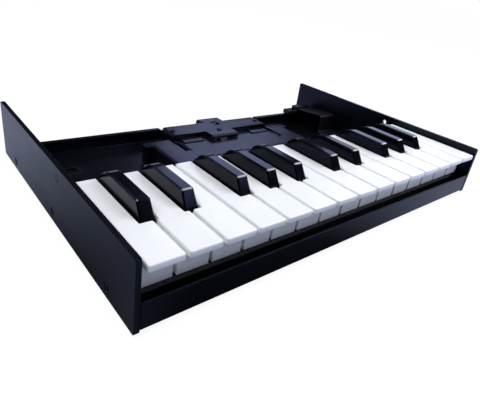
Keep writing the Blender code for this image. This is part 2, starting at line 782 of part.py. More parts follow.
def add_spring_comb(assembly, keys):
    """Add the strip of leaf springs that press on the key tails."""
    low = beam_top() + SEAT + LEAF_THICKNESS / 2
    front = REAR_BEAM_END - COMB_STRIP
    tip_y = PIVOT_Y + TAIL_BACK * LEAF_REACH
    tip_z = TAIL_TOP + SEAT + LEAF_LIFT + LEAF_THICKNESS / 2
    bm = bmesh.new()
    stops = [-CHASSIS_HALF]
    for key in keys:
        stops += [key.tail_x - LEAF_WIDTH / 2, key.tail_x + LEAF_WIDTH / 2]
    stops.append(CHASSIS_HALF)
    near = [bm.verts.new((x, front, low)) for x in stops]
    far = [bm.verts.new((x, REAR_BEAM_END, low)) for x in stops]
    for index in range(len(stops) - 1):
        bm.faces.new((near[index], near[index + 1], far[index + 1], far[index]))
    for index in range(1, len(stops) - 1, 2):
        tip = [bm.verts.new((near[i].co.x, tip_y, tip_z)) for i in (index + 1, index)]
        bm.faces.new((near[index + 1], near[index], tip[1], tip[0]))
    bmesh.ops.recalc_face_normals(bm, faces=bm.faces[:])
    item = temporary_object(bm, "comb")
    wall = item.modifiers.new("leaf", "SOLIDIFY")
    wall.thickness = LEAF_THICKNESS
    wall.offset = 0.0
    comb = evaluated(item)
    bmesh.ops.recalc_face_normals(comb, faces=comb.faces[:])
    comb = cut(comb, [
        screw_hole(x, y, beam_top(), beam_top() + COMB_STRIP) for x, y in comb_pin_places()
    ])
    assembly.add("key_spring_comb", comb, "bright_steel", (0, REAR_BEAM_END, low))


def add_contacts(assembly, keys):
    """Add the contact board and the rubber strip with one dome under each key."""
    board_low = CHASSIS_PLATE + SEAT
    board_top = board_low + BOARD_THICKNESS
    half = CHASSIS_HALF - PLAY
    board = box((-half, half), (BOARD_FRONT, BOARD_FRONT + BOARD_DEPTH), (board_low, board_top))
    board = cut(board, [
        screw_hole(x, y, CHASSIS_PLATE, board_top + PLAY) for x, y in board_pin_places()
    ])
    assembly.add("contact_board", board, "board_green", (0, BOARD_FRONT, board_low))

    strip_low = board_top + SEAT
    strip_top = strip_low + STRIP_THICKNESS
    strip_front = BOARD_FRONT + PLAY
    strip = box((-half, half), (strip_front, strip_front + STRIP_DEPTH), (strip_low, strip_top))
    dome_top = SKIRT_BOTTOM - pressed_drop(ACTUATOR_FRONT) - SEAT
    dome_y = ACTUATOR_FRONT + ACTUATOR_DEPTH / 2
    domes = [
        moved(turned([(0, strip_low + STRIP_THICKNESS / 2),
                      (DOME_RADIUS, strip_low + STRIP_THICKNESS / 2),
                      (DOME_RADIUS * 0.7, dome_top), (0, dome_top)], 6),
              (key.tail_x, dome_y, 0))
        for key in keys
    ]
    strip = join(strip, domes)
    assembly.add("contact_strip", strip, "rubber", (0, strip_front, strip_low))


def panel_screw_places():
    """Return the (y, z) places of the screws in each side panel."""
    z = PANEL_BOTTOM + PANEL_SCREW_RISE
    return [(PANEL_SCREW_FRONT + index * PANEL_SCREW_PITCH, z) for index in range(3)]


def rounded_rectangle(width, height, radius, steps=3):
    """Return the outline of a rectangle with round corners, from its lower corner at zero."""
    points = []
    corners = [(width - radius, radius, -90), (width - radius, height - radius, 0),
               (radius, height - radius, 90), (radius, radius, 180)]
    for x, y, start in corners:
        for step in range(steps + 1):
            angle = math.radians(start + 90 * step / steps)
            points.append((x + radius * math.cos(angle), y + radius * math.sin(angle)))
    return points


def add_side_panels(assembly):
    """Add the two thick side panels with their countersunk and open holes."""
    for name, side in (("left_side_panel", -1), ("right_side_panel", 1)):
        outline = [(y, z + PANEL_BOTTOM) for y, z in
                   rounded_rectangle(DEPTH, PANEL_HEIGHT, PANEL_CORNER)]
        inner, outer = sorted((side * INNER, side * WIDTH / 2))
        panel = prism(outline, "X", inner, outer)
        turn = Matrix.Rotation(side * math.radians(90), 4, "Y")
        tools = []
        for y, z in panel_screw_places():
            head = PANEL_SCREW_HEAD + SEAT
            sink = turned(
                [(0, SEAT), (head, SEAT), (head, 0),
                 (PANEL_SCREW_RADIUS + SEAT, -PANEL_SCREW_HEAD_DEPTH),
                 (PANEL_SCREW_RADIUS + SEAT, -PANEL_THICKNESS * 2), (0, -PANEL_THICKNESS * 2)], 12)
            tools.append(moved(sink, (side * WIDTH / 2, y, z), turn))
        tools.append(rod_along_x(
            SIDE_HOLE_RADIUS, inner - SEAT, outer + SEAT, SIDE_HOLE_Y, SIDE_HOLE_Z, 16))
        assembly.add(name, cut(panel, tools), "black_steel", (side * INNER, 0, PANEL_BOTTOM))
    screw = None
    for side_name, side in (("left", -1), ("right", 1)):
        for place, (y, z) in zip(("front", "middle", "rear"), panel_screw_places()):
            name = f"panel_screw_{side_name}_{place}"
            origin = (side * (WIDTH / 2 - SEAT), y, z)
            if screw is None:
                screw = assembly.add(name, countersunk(
                    PANEL_SCREW_HEAD, PANEL_SCREW_HEAD_DEPTH, PANEL_SCREW_RADIUS,
                    PANEL_THICKNESS + SEAT + SHEET), "black_zinc")
                screw.location = origin
            else:
                screw = assembly.place(name, screw.data, origin)
            screw.rotation_euler = (0, side * math.radians(90), 0)


def pan_panels():
    """Return the flat panels of the folded pan on its middle surface."""
    half = PAN_HALF - SHEET / 2
    front = PAN_RECESS + SHEET / 2
    rear = REAR_WALL_Y - SHEET / 2
    low = PAN_BOTTOM + SHEET / 2
    front_top = PAN_BOTTOM + FRONT_FLANGE_HEIGHT
    side_top = PAN_BOTTOM + SIDE_FLANGE_HEIGHT
    wall_top = REAR_WALL_TOP - SHEET / 2
    notch_top = REAR_WALL_TOP - REAR_NOTCH_DEPTH
    back = rear - REAR_RETURN + SHEET / 2
    edge = PAN_HALF
    at_front = end_relief(half, edge, front, 1)
    at_rear = end_relief(half, edge, rear, -1)
    side_front, side_rear = at_front[0][1], at_rear[0][1]
    floor_right = [(x, y, low) for x, y in at_front[::-1] + at_rear]
    floor = floor_right + [(-x, y, z) for x, y, z in reversed(floor_right)]
    flange = [(-edge, front, low), (edge, front, low), (edge, front, front_top),
              (-edge, front, front_top)]
    wall = [
        (-edge, rear, low), (edge, rear, low), (edge, rear, wall_top),
        (REAR_NOTCH_RIGHT, rear, wall_top), (REAR_NOTCH_RIGHT, rear, notch_top),
        (REAR_NOTCH_LEFT, rear, notch_top), (REAR_NOTCH_LEFT, rear, wall_top),
        (-edge, rear, wall_top),
    ]
    sides = mirrored([[
        (half, side_front, low), (half, side_rear, low), (half, side_rear, side_top),
        (half, side_front, side_top)]])
    returns = []
    for notch, side in ((REAR_NOTCH_LEFT, 1), (REAR_NOTCH_RIGHT, -1)):
        tab = notch + side * SHEET / 2
        relief = end_relief(tab, notch, rear, -1, side)
        tab_low = low + RELIEF
        outline = [(-side * edge, rear), (-side * edge, back), (tab, back)] + relief
        returns.append([(x, y, wall_top) for x, y in outline])
        tab_rear = relief[0][1]
        returns.append([(tab, back, wall_top), (tab, tab_rear, wall_top), (tab, tab_rear, tab_low),
                        (tab, back, tab_low)])
    return [floor, flange, wall] + sides + returns


def add_base_pan(assembly):
    """Add the folded pan and its rubber feet."""
    pan = folded_sheet(pan_panels())
    bore = PANEL_SCREW_RADIUS + SEAT
    tools = [rod_along_x(bore, side * INNER - SHEET * 2, side * INNER + SHEET * 2, y, z, 10)
             for side in (-1, 1) for y, z in panel_screw_places()]
    for x, y in chassis_pin_places() + platform_pin_places():
        tools.append(screw_hole(x, y, 0, FLOOR + SHEET))
    pan = cut(pan, tools)
    assembly.add("base_pan", pan, "black_steel", (0, 0, PAN_BOTTOM))

    height = PAN_BOTTOM - SEAT
    foot = None
    for row, y in (("front", FOOT_INSET_Y), ("rear", DEPTH - FOOT_INSET_Y - FOOT_RADIUS)):
        for side_name, side in (("left", -1), ("right", 1)):
            name = f"foot_{row}_{side_name}"
            origin = (side * (WIDTH / 2 - FOOT_INSET_X), y, TABLE)
            if foot is None:
                foot = assembly.add(name, turned(
                    [(0, 0), (FOOT_RADIUS * 0.85, 0), (FOOT_RADIUS, height / 2),
                     (FOOT_RADIUS, height), (0, height)], 20), "rubber")
                foot.location = origin
            else:
                assembly.place(name, foot.data, origin)


def platform_pin_places():
    """Return where the platform's feet are riveted to the pan."""
    x = PLATFORM_HALF - SHEET - PLATFORM_FOOT / 2
    return [(side * x, y) for side in (-1, 1)
            for y in (PLATFORM_FRONT + PLATFORM_FOOT, PLATFORM_REAR - EAR_DEPTH - PLATFORM_FOOT)]


def knuckle(centre, width, side):
    """Make one hinge knuckle with the web that ties it to the sheet on one side of the pin."""
    near = HINGE_GAP + KNUCKLE_WEB_INSET
    top = PLATFORM_TOP - SHEET / 2
    outline = [(HINGE_Y + side * near, top), (HINGE_Y + side * KNUCKLE_RADIUS, top)]
    sweep = math.tau - math.acos(near / KNUCKLE_RADIUS)
    steps = 10
    for step in range(steps + 1):
        angle = sweep * step / steps
        outline.append((
            HINGE_Y + side * KNUCKLE_RADIUS * math.cos(angle),
            HINGE_Z - KNUCKLE_RADIUS * math.sin(angle),
        ))
    return prism(outline, "X", centre - width / 2, centre + width / 2)


def knuckle_bore():
    """Make the cutter of the hinge pin's hole."""
    return rod_along_x(HINGE_PIN_RADIUS + SEAT, -TILT_HALF, TILT_HALF, HINGE_Y, HINGE_Z, 10)


def knuckle_places():
    """Return the middles of the platform's and of the tilting plate's knuckles."""
    step = KNUCKLE_WIDTH + PLAY
    return [-step * 2, 0, step * 2], [-step, step]


def add_platform(assembly):
    """Add the fixed platform with its rivets, and the hinge pin."""
    top = PLATFORM_TOP - SHEET / 2
    half = PLATFORM_HALF - SHEET / 2
    foot_z = FLOOR + SEAT + SHEET / 2
    r = RELIEF
    arm = ARM_INNER
    near = TILT_HALF + PLAY
    edge = HINGE_Y - HINGE_GAP
    ear = half + EAR_WIDTH
    ear_front = PLATFORM_REAR - EAR_DEPTH
    fold_end = ear_front - RELIEF_WIDTH
    plate_right = [
        (half, PLATFORM_FRONT, top), (half, fold_end, top), (half - r, fold_end, top),
        (half - r, ear_front, top), (ear, ear_front, top), (ear, PLATFORM_REAR, top),
        (arm, PLATFORM_REAR, top), (arm, SLOT_FRONT, top), (near, SLOT_FRONT, top),
        (near, edge, top),
    ]
    plate = plate_right + [(-x, y, z) for x, y, z in reversed(plate_right)]
    inward = half - PLATFORM_FOOT
    side = [
        [(half, PLATFORM_FRONT, top), (half, fold_end, top), (half, fold_end, foot_z),
         (half, PLATFORM_FRONT, foot_z)],
        [(half, PLATFORM_FRONT, foot_z), (half, fold_end, foot_z),
         (inward, fold_end, foot_z), (inward, PLATFORM_FRONT, foot_z)],
        [(ear, ear_front, top), (ear, PLATFORM_REAR, top),
         (ear, PLATFORM_REAR, foot_z), (ear, ear_front, foot_z)],
        [(half - r, ear_front, top), (ear, ear_front, top), (ear, ear_front, foot_z),
         (half - r, ear_front, foot_z)],
    ]
    platform = folded_sheet([plate] + mirrored(side))
    fixed_knuckles = knuckle_places()[0]
    platform = join(platform, [knuckle(x, KNUCKLE_WIDTH, -1) for x in fixed_knuckles])
    platform = join(platform, [
        headed_pin(x, y, foot_z, PAN_BOTTOM - SEAT) for x, y in platform_pin_places()
    ])
    arm_slot = box(
        (ARM_SLOT_X - ARM_SLOT_WIDTH / 2, ARM_SLOT_X + ARM_SLOT_WIDTH / 2),
        (PLATFORM_REAR - ARM_SLOT_LENGTH, PLATFORM_REAR + SHEET),
        (PLATFORM_TOP - SHEET * 2, PLATFORM_TOP + SHEET))
    platform = cut(platform, [knuckle_bore(), arm_slot])
    assembly.add("platform_bracket", platform, "black_steel", (0, PLATFORM_FRONT, FLOOR))

    reach = KNUCKLE_WIDTH * 2.5 + PLAY * 3
    pin = rod_along_x(HINGE_PIN_RADIUS, -reach, reach, HINGE_Y, HINGE_Z, 10)
    assembly.add("tilt_hinge_pin", pin, "bright_steel", (0, HINGE_Y, HINGE_Z))


def dock_screw_places():
    """Return where the dock bracket is screwed to the tilting plate."""
    return [(-DOCK_SCREW_X, DOCK_SCREW_Y), (DOCK_SCREW_X, DOCK_SCREW_Y),
            (CENTRE_SCREW_X, CENTRE_SCREW_Y)]


def add_tilt_plate(assembly):
    """Add the tilting plate with the windows of its two prop flaps."""
    top = PLATFORM_TOP - SHEET / 2
    half = TILT_HALF - SHEET / 2
    front = HINGE_Y + HINGE_GAP
    low = PLATFORM_TOP - TILT_FLANGE
    relief = end_relief(half, TILT_HALF, SLOT_FRONT - RELIEF, 1)
    tab = TAB_HALF - SHEET * 2
    plate_right = [(TILT_HALF, front)] + relief[:0:-1][1:] + [
        (half, relief[0][1]), (half, TILT_REAR)]
    plate = [(x, y, top) for x, y in plate_right]
    plate += [(TAB_X + tab, TILT_REAR, top), (TAB_X + tab, TAB_REAR - SHEET, top),
              (TAB_X - tab, TAB_REAR - SHEET, top), (TAB_X - tab, TILT_REAR, top)]
    plate += [(-x, y, top) for x, y in reversed(plate_right)]
    side = [[(half, relief[0][1], top), (half, TILT_REAR, top), (half, TILT_REAR, low),
             (half, relief[0][1], low)]]
    tilt = folded_sheet([plate] + mirrored(side))
    turning_knuckles = knuckle_places()[1]
    tilt = join(tilt, [knuckle(x, KNUCKLE_WIDTH, 1) for x in turning_knuckles] + [
        rod_along_z(SPACER_RADIUS, x, y, top, DOCK_TOP - SHEET - SEAT, 12)
        for x, y in dock_screw_places()
    ])
    tools = [knuckle_bore()]
    for side_sign in (-1, 1):
        across = sorted((
            side_sign * (FLAP_INNER - PLAY), side_sign * (FLAP_INNER + FLAP_WIDTH + PLAY)))
        tools.append(box(
            across, (FLAP_Y - FLAP_LENGTH - PLAY * 2, FLAP_Y + FLAP_EYE_RADIUS + PLAY),
            (low + SHEET, PLATFORM_TOP + SHEET)))
    tools.append(rod_along_x(FLAP_PIN_RADIUS + SEAT, -DOCK_HALF, DOCK_HALF, FLAP_Y, FLAP_Z, 10))
    for x, y in dock_screw_places():
        tools.append(screw_hole(x, y, low, DOCK_TOP))
    tilt = cut(tilt, tools)
    assembly.add("tilt_plate", tilt, "black_steel", (0, HINGE_Y, HINGE_Z))


def add_flaps(assembly):
    """Add the two prop flaps and the pin that both of them swing on."""
    top = PLATFORM_TOP + FLAP_PROUD
    front = FLAP_Y - FLAP_LENGTH
    for name, side in (("left_prop_flap", -1), ("right_prop_flap", 1)):
        low, high = sorted((side * FLAP_INNER, side * (FLAP_INNER + FLAP_WIDTH)))
        outline = [
            (front, top - SHEET - FLAP_LIP), (front + SHEET, top - SHEET - FLAP_LIP),
            (front + SHEET, top - SHEET), (FLAP_Y - FLAP_EYE_RADIUS, top - SHEET),
            (FLAP_Y - FLAP_EYE_RADIUS, FLAP_Z), (FLAP_Y, FLAP_Z), (FLAP_Y, top),
            (front + SHEET / 2, top), (front, top - SHEET / 2),
        ]
        flap = prism(outline, "X", low, high)
        flap = join(flap, [rod_along_x(FLAP_EYE_RADIUS, low, high, FLAP_Y, FLAP_Z, 12)])
        flap = cut(flap, [rod_along_x(
            FLAP_PIN_RADIUS + SEAT, low - SHEET, high + SHEET, FLAP_Y, FLAP_Z, 10)])
        assembly.add(name, flap, "black_steel", (side * FLAP_INNER, FLAP_Y, FLAP_Z))
    end = DOCK_HALF - SHEET - SEAT
    pin = rod_along_x(FLAP_PIN_RADIUS, -end, end, FLAP_Y, FLAP_Z, 10)
    assembly.add("flap_pin", pin, "bright_steel", (0, FLAP_Y, FLAP_Z))


def latch_heights():
    """Return the latch's underside and top, between the plate and the bracket."""
    return PLATFORM_TOP + SEAT, PLATFORM_TOP + SEAT + SHEET


def add_dock(assembly):
    """Add the dock bracket, its three screws, and the sliding latch under it."""
    top = DOCK_TOP - SHEET / 2
    half = DOCK_HALF - SHEET / 2
    foot = FLOOR + SEAT
    tongue_low = PLATFORM_TOP + SEAT
    tab_low = DOCK_TOP - TAB_SKIRT
    tab_left, tab_right = TAB_X - TAB_HALF + SHEET / 2, TAB_X + TAB_HALF - SHEET / 2
    nose = TONGUE_FRONT + SHEET / 2
    r = RELIEF
    plate = [
        (TONGUE_LEFT, nose, top), (TONGUE_RIGHT, nose, top), (TONGUE_RIGHT, DOCK_FRONT, top),
        (half, DOCK_FRONT, top), (half, DOCK_REAR, top),
        (tab_right - r, DOCK_REAR, top), (tab_right - r, DOCK_REAR + r, top),
        (tab_right, DOCK_REAR + r, top), (tab_right, TAB_REAR, top),
        (tab_left, TAB_REAR, top), (tab_left, DOCK_REAR + r, top),
        (tab_left + r, DOCK_REAR + r, top), (tab_left + r, DOCK_REAR, top),
        (-half, DOCK_REAR, top), (-half, DOCK_FRONT, top), (TONGUE_LEFT, DOCK_FRONT, top),
    ]
    skirts = mirrored([[
        (half, DOCK_FRONT, top), (half, DOCK_REAR, top), (half, DOCK_REAR, foot),
        (half, DOCK_FRONT, foot)]])
    folds = [[(TONGUE_LEFT, nose, top), (TONGUE_RIGHT, nose, top),
              (TONGUE_RIGHT, nose, tongue_low), (TONGUE_LEFT, nose, tongue_low)]]
    for x in (tab_left, tab_right):
        folds.append([(x, DOCK_REAR + r, top), (x, TAB_REAR, top), (x, TAB_REAR, tab_low),
                      (x, DOCK_REAR + r, tab_low)])
    bracket = folded_sheet([plate] + skirts + folds)
    latch_low, latch_top = latch_heights()
    slot_left = LATCH_TIP_LEFT - LATCH_TRAVEL - PLAY
    slot_right = LATCH_TIP_LEFT + LATCH_TIP_WIDTH + SEAT
    hole = (HOOK_HOLE_Y - HOOK_HOLE_LENGTH / 2, HOOK_HOLE_Y + HOOK_HOLE_LENGTH / 2)
    tools = [
        box((slot_left, slot_right), (TONGUE_FRONT - SHEET, TONGUE_FRONT + SHEET * 2),
            (tongue_low - SHEET, latch_top + PLAY)),
        box((TAB_X - HOOK_HOLE_WIDTH / 2, TAB_X + HOOK_HOLE_WIDTH / 2), hole,
            (tab_low, DOCK_TOP + SHEET)),
    ]
    for x, y in dock_screw_places():
        tools.append(screw_hole(x, y, DOCK_TOP - SHEET * 2, DOCK_TOP + SHEET))
    bracket = cut(bracket, tools)
    assembly.add("dock_bracket", bracket, "black_steel", (0, DOCK_FRONT, PLATFORM_TOP))

    screw = None
    for place, (x, y) in zip(("left", "right", "centre"), dock_screw_places()):
        name = f"dock_screw_{place}"
        origin = (x, y, DOCK_TOP + SEAT)
        if screw is None:
            screw = assembly.add(name, headed_pin(0, 0, -DOCK_RISE - SEAT, 0), "black_zinc")
            screw.location = origin
        else:
            assembly.place(name, screw.data, origin)

    front = TONGUE_FRONT + SHEET + PLAY
    tip_right = LATCH_TIP_LEFT + LATCH_TIP_WIDTH
    outline = [
        (LATCH_LEFT, front), (LATCH_TIP_LEFT, front), (LATCH_TIP_LEFT, TONGUE_FRONT - LATCH_TIP_PROUD),
        (tip_right, TONGUE_FRONT - LATCH_TIP_PROUD), (tip_right, front), (LATCH_RIGHT, front),
        (LATCH_RIGHT, front + LATCH_DEPTH), (LATCH_LEFT, front + LATCH_DEPTH),
    ]
    latch = prism(outline, "Z", latch_low, latch_top)
    reach = SPACER_RADIUS + SEAT
    latch_slot = box(
        (CENTRE_SCREW_X - reach, CENTRE_SCREW_X + reach + LATCH_TRAVEL),
        (CENTRE_SCREW_Y - reach, CENTRE_SCREW_Y + reach), (latch_low - SHEET, latch_top + SHEET))
    latch = cut(latch, [latch_slot])
    assembly.add("dock_latch", latch, "bright_steel", (LATCH_TIP_LEFT, TONGUE_FRONT, latch_low))


def add_guide_block(assembly):
    """Add the small dished block whose peg fills the left panel's hole."""
    right = -INNER + SEAT + BLOCK_WIDTH
    left = -INNER + SEAT
    low = SIDE_HOLE_Z - BLOCK_HEIGHT / 2
    high = SIDE_HOLE_Z + BLOCK_HEIGHT / 2
    front = SIDE_HOLE_Y - BLOCK_DEPTH / 2
    block = box((left, right), (front, front + BLOCK_DEPTH), (low, high))
    upright = [e for e in block.edges if abs(e.verts[0].co.z - e.verts[1].co.z) > BLOCK_HEIGHT / 2]
    bmesh.ops.bevel(
        block, geom=upright, offset=BLOCK_RIM, segments=2, profile=0.5, affect="EDGES",
        material=-1,
    )
    dish = box(
        (left + BLOCK_RIM, right - BLOCK_RIM),
        (front + BLOCK_RIM, front + BLOCK_DEPTH - BLOCK_RIM), (high - BLOCK_POCKET, high + SHEET))
    block = cut(block, [dish])
    peg = rod_along_x(
        SIDE_HOLE_RADIUS - SEAT, -WIDTH / 2, left + BLOCK_RIM, SIDE_HOLE_Y, SIDE_HOLE_Z, 16)
    block = join(block, [peg])
    assembly.add("left_guide_block", block, "black_plastic", (left, SIDE_HOLE_Y, SIDE_HOLE_Z))


def ribbon_heights():
    """Return the flat lead's middle height on the floor and at its crest."""
    floor_run = FLOOR + SEAT + CLAMP_WALL + SEAT + RIBBON_THICKNESS / 2
    return floor_run, FLOOR + RIBBON_CREST_RISE - RIBBON_THICKNESS / 2


def add_plug_and_ribbon(assembly):
    """Add the module plug with its ribbed cap on the rear wall, the flat lead and its clamp."""
    low = REAR_WALL_TOP + SEAT
    high = low + PLUG_HEIGHT
    rear = REAR_WALL_Y
    front = rear - PLUG_DEPTH
    right = PLUG_LEFT + PLUG_WIDTH
    chamfer = CAP_RIDGE
    outline = [
        (front + chamfer, low), (rear, low), (rear, high - chamfer), (rear - chamfer, high),
        (front + chamfer, high), (front, high - chamfer), (front, low + chamfer),
    ]
    plug = prism(outline, "X", PLUG_LEFT, right)
    cap_front, cap_rear = front + SHEET, rear - SHEET
    pitch = (cap_rear - cap_front) / RIDGES
    ridge_top = high + CAP_HEIGHT
    profile = [(cap_front, low + chamfer), (cap_rear, low + chamfer)]
    for index in range(RIDGES, 0, -1):
        base = cap_front + pitch * (index - 1)
        profile += [(base + pitch, ridge_top - CAP_RIDGE), (base + pitch * 0.7, ridge_top),
                    (base + pitch * 0.3, ridge_top)]
    profile.append((cap_front, ridge_top - CAP_RIDGE))
    cap_left = RIBBON_RIGHT - RIBBON_WIDTH - SHEET * 2
    cap = prism(profile, "X", cap_left, right - SHEET * 3)
    socket = box(
        (PLUG_LEFT + SHEET, cap_left - SHEET), (front - SHEET, front + SHEET),
        (low + SHEET, high - SHEET))
    plug = cut(join(plug, [cap]), [socket])
    assembly.add("module_plug", plug, "black_plastic", (PLUG_LEFT, rear, low))

    floor_run, crest = ribbon_heights()
    bend = RIBBON_BEND
    path = [(REAR_BEAM_END + SEAT, floor_run), (RIBBON_CREST_Y - bend, floor_run)]
    arc = [math.radians(15 * step) for step in range(1, 6)]
    path += [(RIBBON_CREST_Y - bend + bend * math.sin(a), floor_run + bend * (1 - math.cos(a)))
             for a in arc]
    path += [(RIBBON_CREST_Y, floor_run + bend), (RIBBON_CREST_Y, crest - bend)]
    path += [(RIBBON_CREST_Y + bend * (1 - math.cos(a)), crest - bend + bend * math.sin(a))
             for a in arc]
    entry_y = cap_front - SEAT
    entry_z = high + RIBBON_THICKNESS
    start_y = RIBBON_CREST_Y + bend
    for step in range(7):
        share = step / 6
        ease = share * share * (3 - 2 * share)
        path.append((start_y + (entry_y - start_y) * share, crest + (entry_z - crest) * ease))
    bm = bmesh.new()
    left = RIBBON_RIGHT - RIBBON_WIDTH
    line = [bm.verts.new((left, y, z)) for y, z in path]
    edges = [bm.edges.new(pair) for pair in zip(line, line[1:])]
    swept = bmesh.ops.extrude_edge_only(bm, edges=edges)
    bmesh.ops.translate(
        bm, verts=[v for v in swept["geom"] if isinstance(v, bmesh.types.BMVert)],
        vec=(RIBBON_WIDTH, 0, 0))
    item = temporary_object(bm, "ribbon")
    wall = item.modifiers.new("thickness", "SOLIDIFY")
    wall.thickness = RIBBON_THICKNESS
    wall.offset = 0.0
    wall.use_even_offset = True
    ribbon = evaluated(item)
    bmesh.ops.recalc_face_normals(ribbon, faces=ribbon.faces[:])
    assembly.add("ribbon_lead", ribbon, "ribbon_black", (left, REAR_BEAM_END, floor_run))

    base_low = FLOOR + SEAT
    strap_low = floor_run + RIBBON_THICKNESS / 2 + SEAT
    wall_right = left - SEAT
    outer = wall_right - CLAMP_WALL * 2
    profile = [
        (outer, base_low), (RIBBON_RIGHT, base_low), (RIBBON_RIGHT, base_low + CLAMP_WALL),
        (wall_right, base_low + CLAMP_WALL), (wall_right, strap_low), (RIBBON_RIGHT, strap_low),
        (RIBBON_RIGHT, strap_low + CLAMP_WALL), (outer, strap_low + CLAMP_WALL),
    ]
    clamp = prism(profile, "Y", CLAMP_Y, CLAMP_Y + CLAMP_DEPTH)
    assembly.add("ribbon_clamp", clamp, "black_plastic", (outer, CLAMP_Y, base_low))


def main():
    """Build the whole assembly."""
    clear_scene()
    assembly = Assembly()
    keys = lay_out_keys()
    add_side_panels(assembly)
    add_base_pan(assembly)
    add_chassis(assembly, keys)
    add_spring_comb(assembly, keys)
    add_contacts(assembly, keys)
    add_keys(assembly, keys)
    add_platform(assembly)
    add_tilt_plate(assembly)
    add_flaps(assembly)
    add_dock(assembly)
    add_guide_block(assembly)
    add_plug_and_ribbon(assembly)


main()
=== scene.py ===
"""Looks of a mini keyboard with a tilting dock for a sound module.

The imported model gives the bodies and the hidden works. Every piece that shows is built again
here with its real edge radii, bends, recesses and finish, and stands for its plain solid.

Pieces are drawn in the tray's own frame: X along the keys, Y back from the front edge, Z up
from the table, all in metres. They are centred over the origin when they are finished.
"""
import logging
import math
from collections.abc import Iterable, Sequence
from dataclasses import dataclass, field
from enum import Enum

import bmesh
import bpy
from mathutils import Matrix, Vector


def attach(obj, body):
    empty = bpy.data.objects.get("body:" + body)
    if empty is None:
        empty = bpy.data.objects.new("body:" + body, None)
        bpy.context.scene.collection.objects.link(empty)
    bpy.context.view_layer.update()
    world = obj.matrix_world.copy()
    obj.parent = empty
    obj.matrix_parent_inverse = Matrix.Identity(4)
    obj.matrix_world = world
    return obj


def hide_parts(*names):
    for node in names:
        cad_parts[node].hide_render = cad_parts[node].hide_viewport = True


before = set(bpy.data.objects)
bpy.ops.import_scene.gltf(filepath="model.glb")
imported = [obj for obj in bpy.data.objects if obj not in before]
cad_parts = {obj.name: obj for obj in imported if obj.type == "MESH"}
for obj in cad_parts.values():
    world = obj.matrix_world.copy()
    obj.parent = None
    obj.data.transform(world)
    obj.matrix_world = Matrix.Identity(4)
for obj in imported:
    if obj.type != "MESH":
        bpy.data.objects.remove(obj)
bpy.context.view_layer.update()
LOG = logging.getLogger("mini_keyboard")

MM = 0.001
# Gaps between pieces that touch, and between pieces that slide.
SEAT = 0.0003
PLAY = 0.0005
# Points nearer than this are one point.
TOUCH = 1e-6
# Chamfer that breaks the end of a pin.
PIN_BREAK = 0.0002
# Flatter edges are shaded smooth, and sharper ones get an edge radius.
SHARP_ANGLE = math.radians(24)
# Edge radii of cut plate, of folded sheet, and of mouldings and small blanked pieces.
PLATE_EDGE_MM = 0.35
SHEET_EDGE_MM = 0.14
FINE_EDGE_MM = 0.12
# A wave texture of scale one repeats in this distance.
WAVE_PERIOD = math.pi / 10
Pair = tuple[float, float]
Point = tuple[float, float, float]


def linear(code: str) -> tuple[float, float, float, float]:
    """Turn an sRGB hex colour into the linear RGBA that shader sockets take.

    Args:
        code: Six hex digits after a hash sign.

    Returns:
        Linear red, green and blue, and an alpha of one.
    """
    channels = []
    for start in (1, 3, 5):
        value = int(code[start:start + 2], 16) / 255
        channels.append(value / 12.92 if value <= 0.04045 else ((value + 0.055) / 1.055) ** 2.4)
    return (*channels, 1.0)


def add_node(tree: bpy.types.NodeTree, kind: str, inputs: dict | None = None,
             **settings) -> bpy.types.Node:
    """Add a shader node, set its properties, and link or set its inputs.

    Args:
        tree: Node tree that gets the node.
        kind: Node type name.
        inputs: Input name or index to a socket to link, or a value to set.
        **settings: Node properties to set first.

    Returns:
        The new node.
    """
    node = tree.nodes.new(kind)
    for name, value in settings.items():
        setattr(node, name, value)
    for name, value in (inputs or {}).items():
        if isinstance(value, bpy.types.NodeSocket):
            tree.links.new(value, node.inputs[name])
        else:
            node.inputs[name].default_value = value
    return node


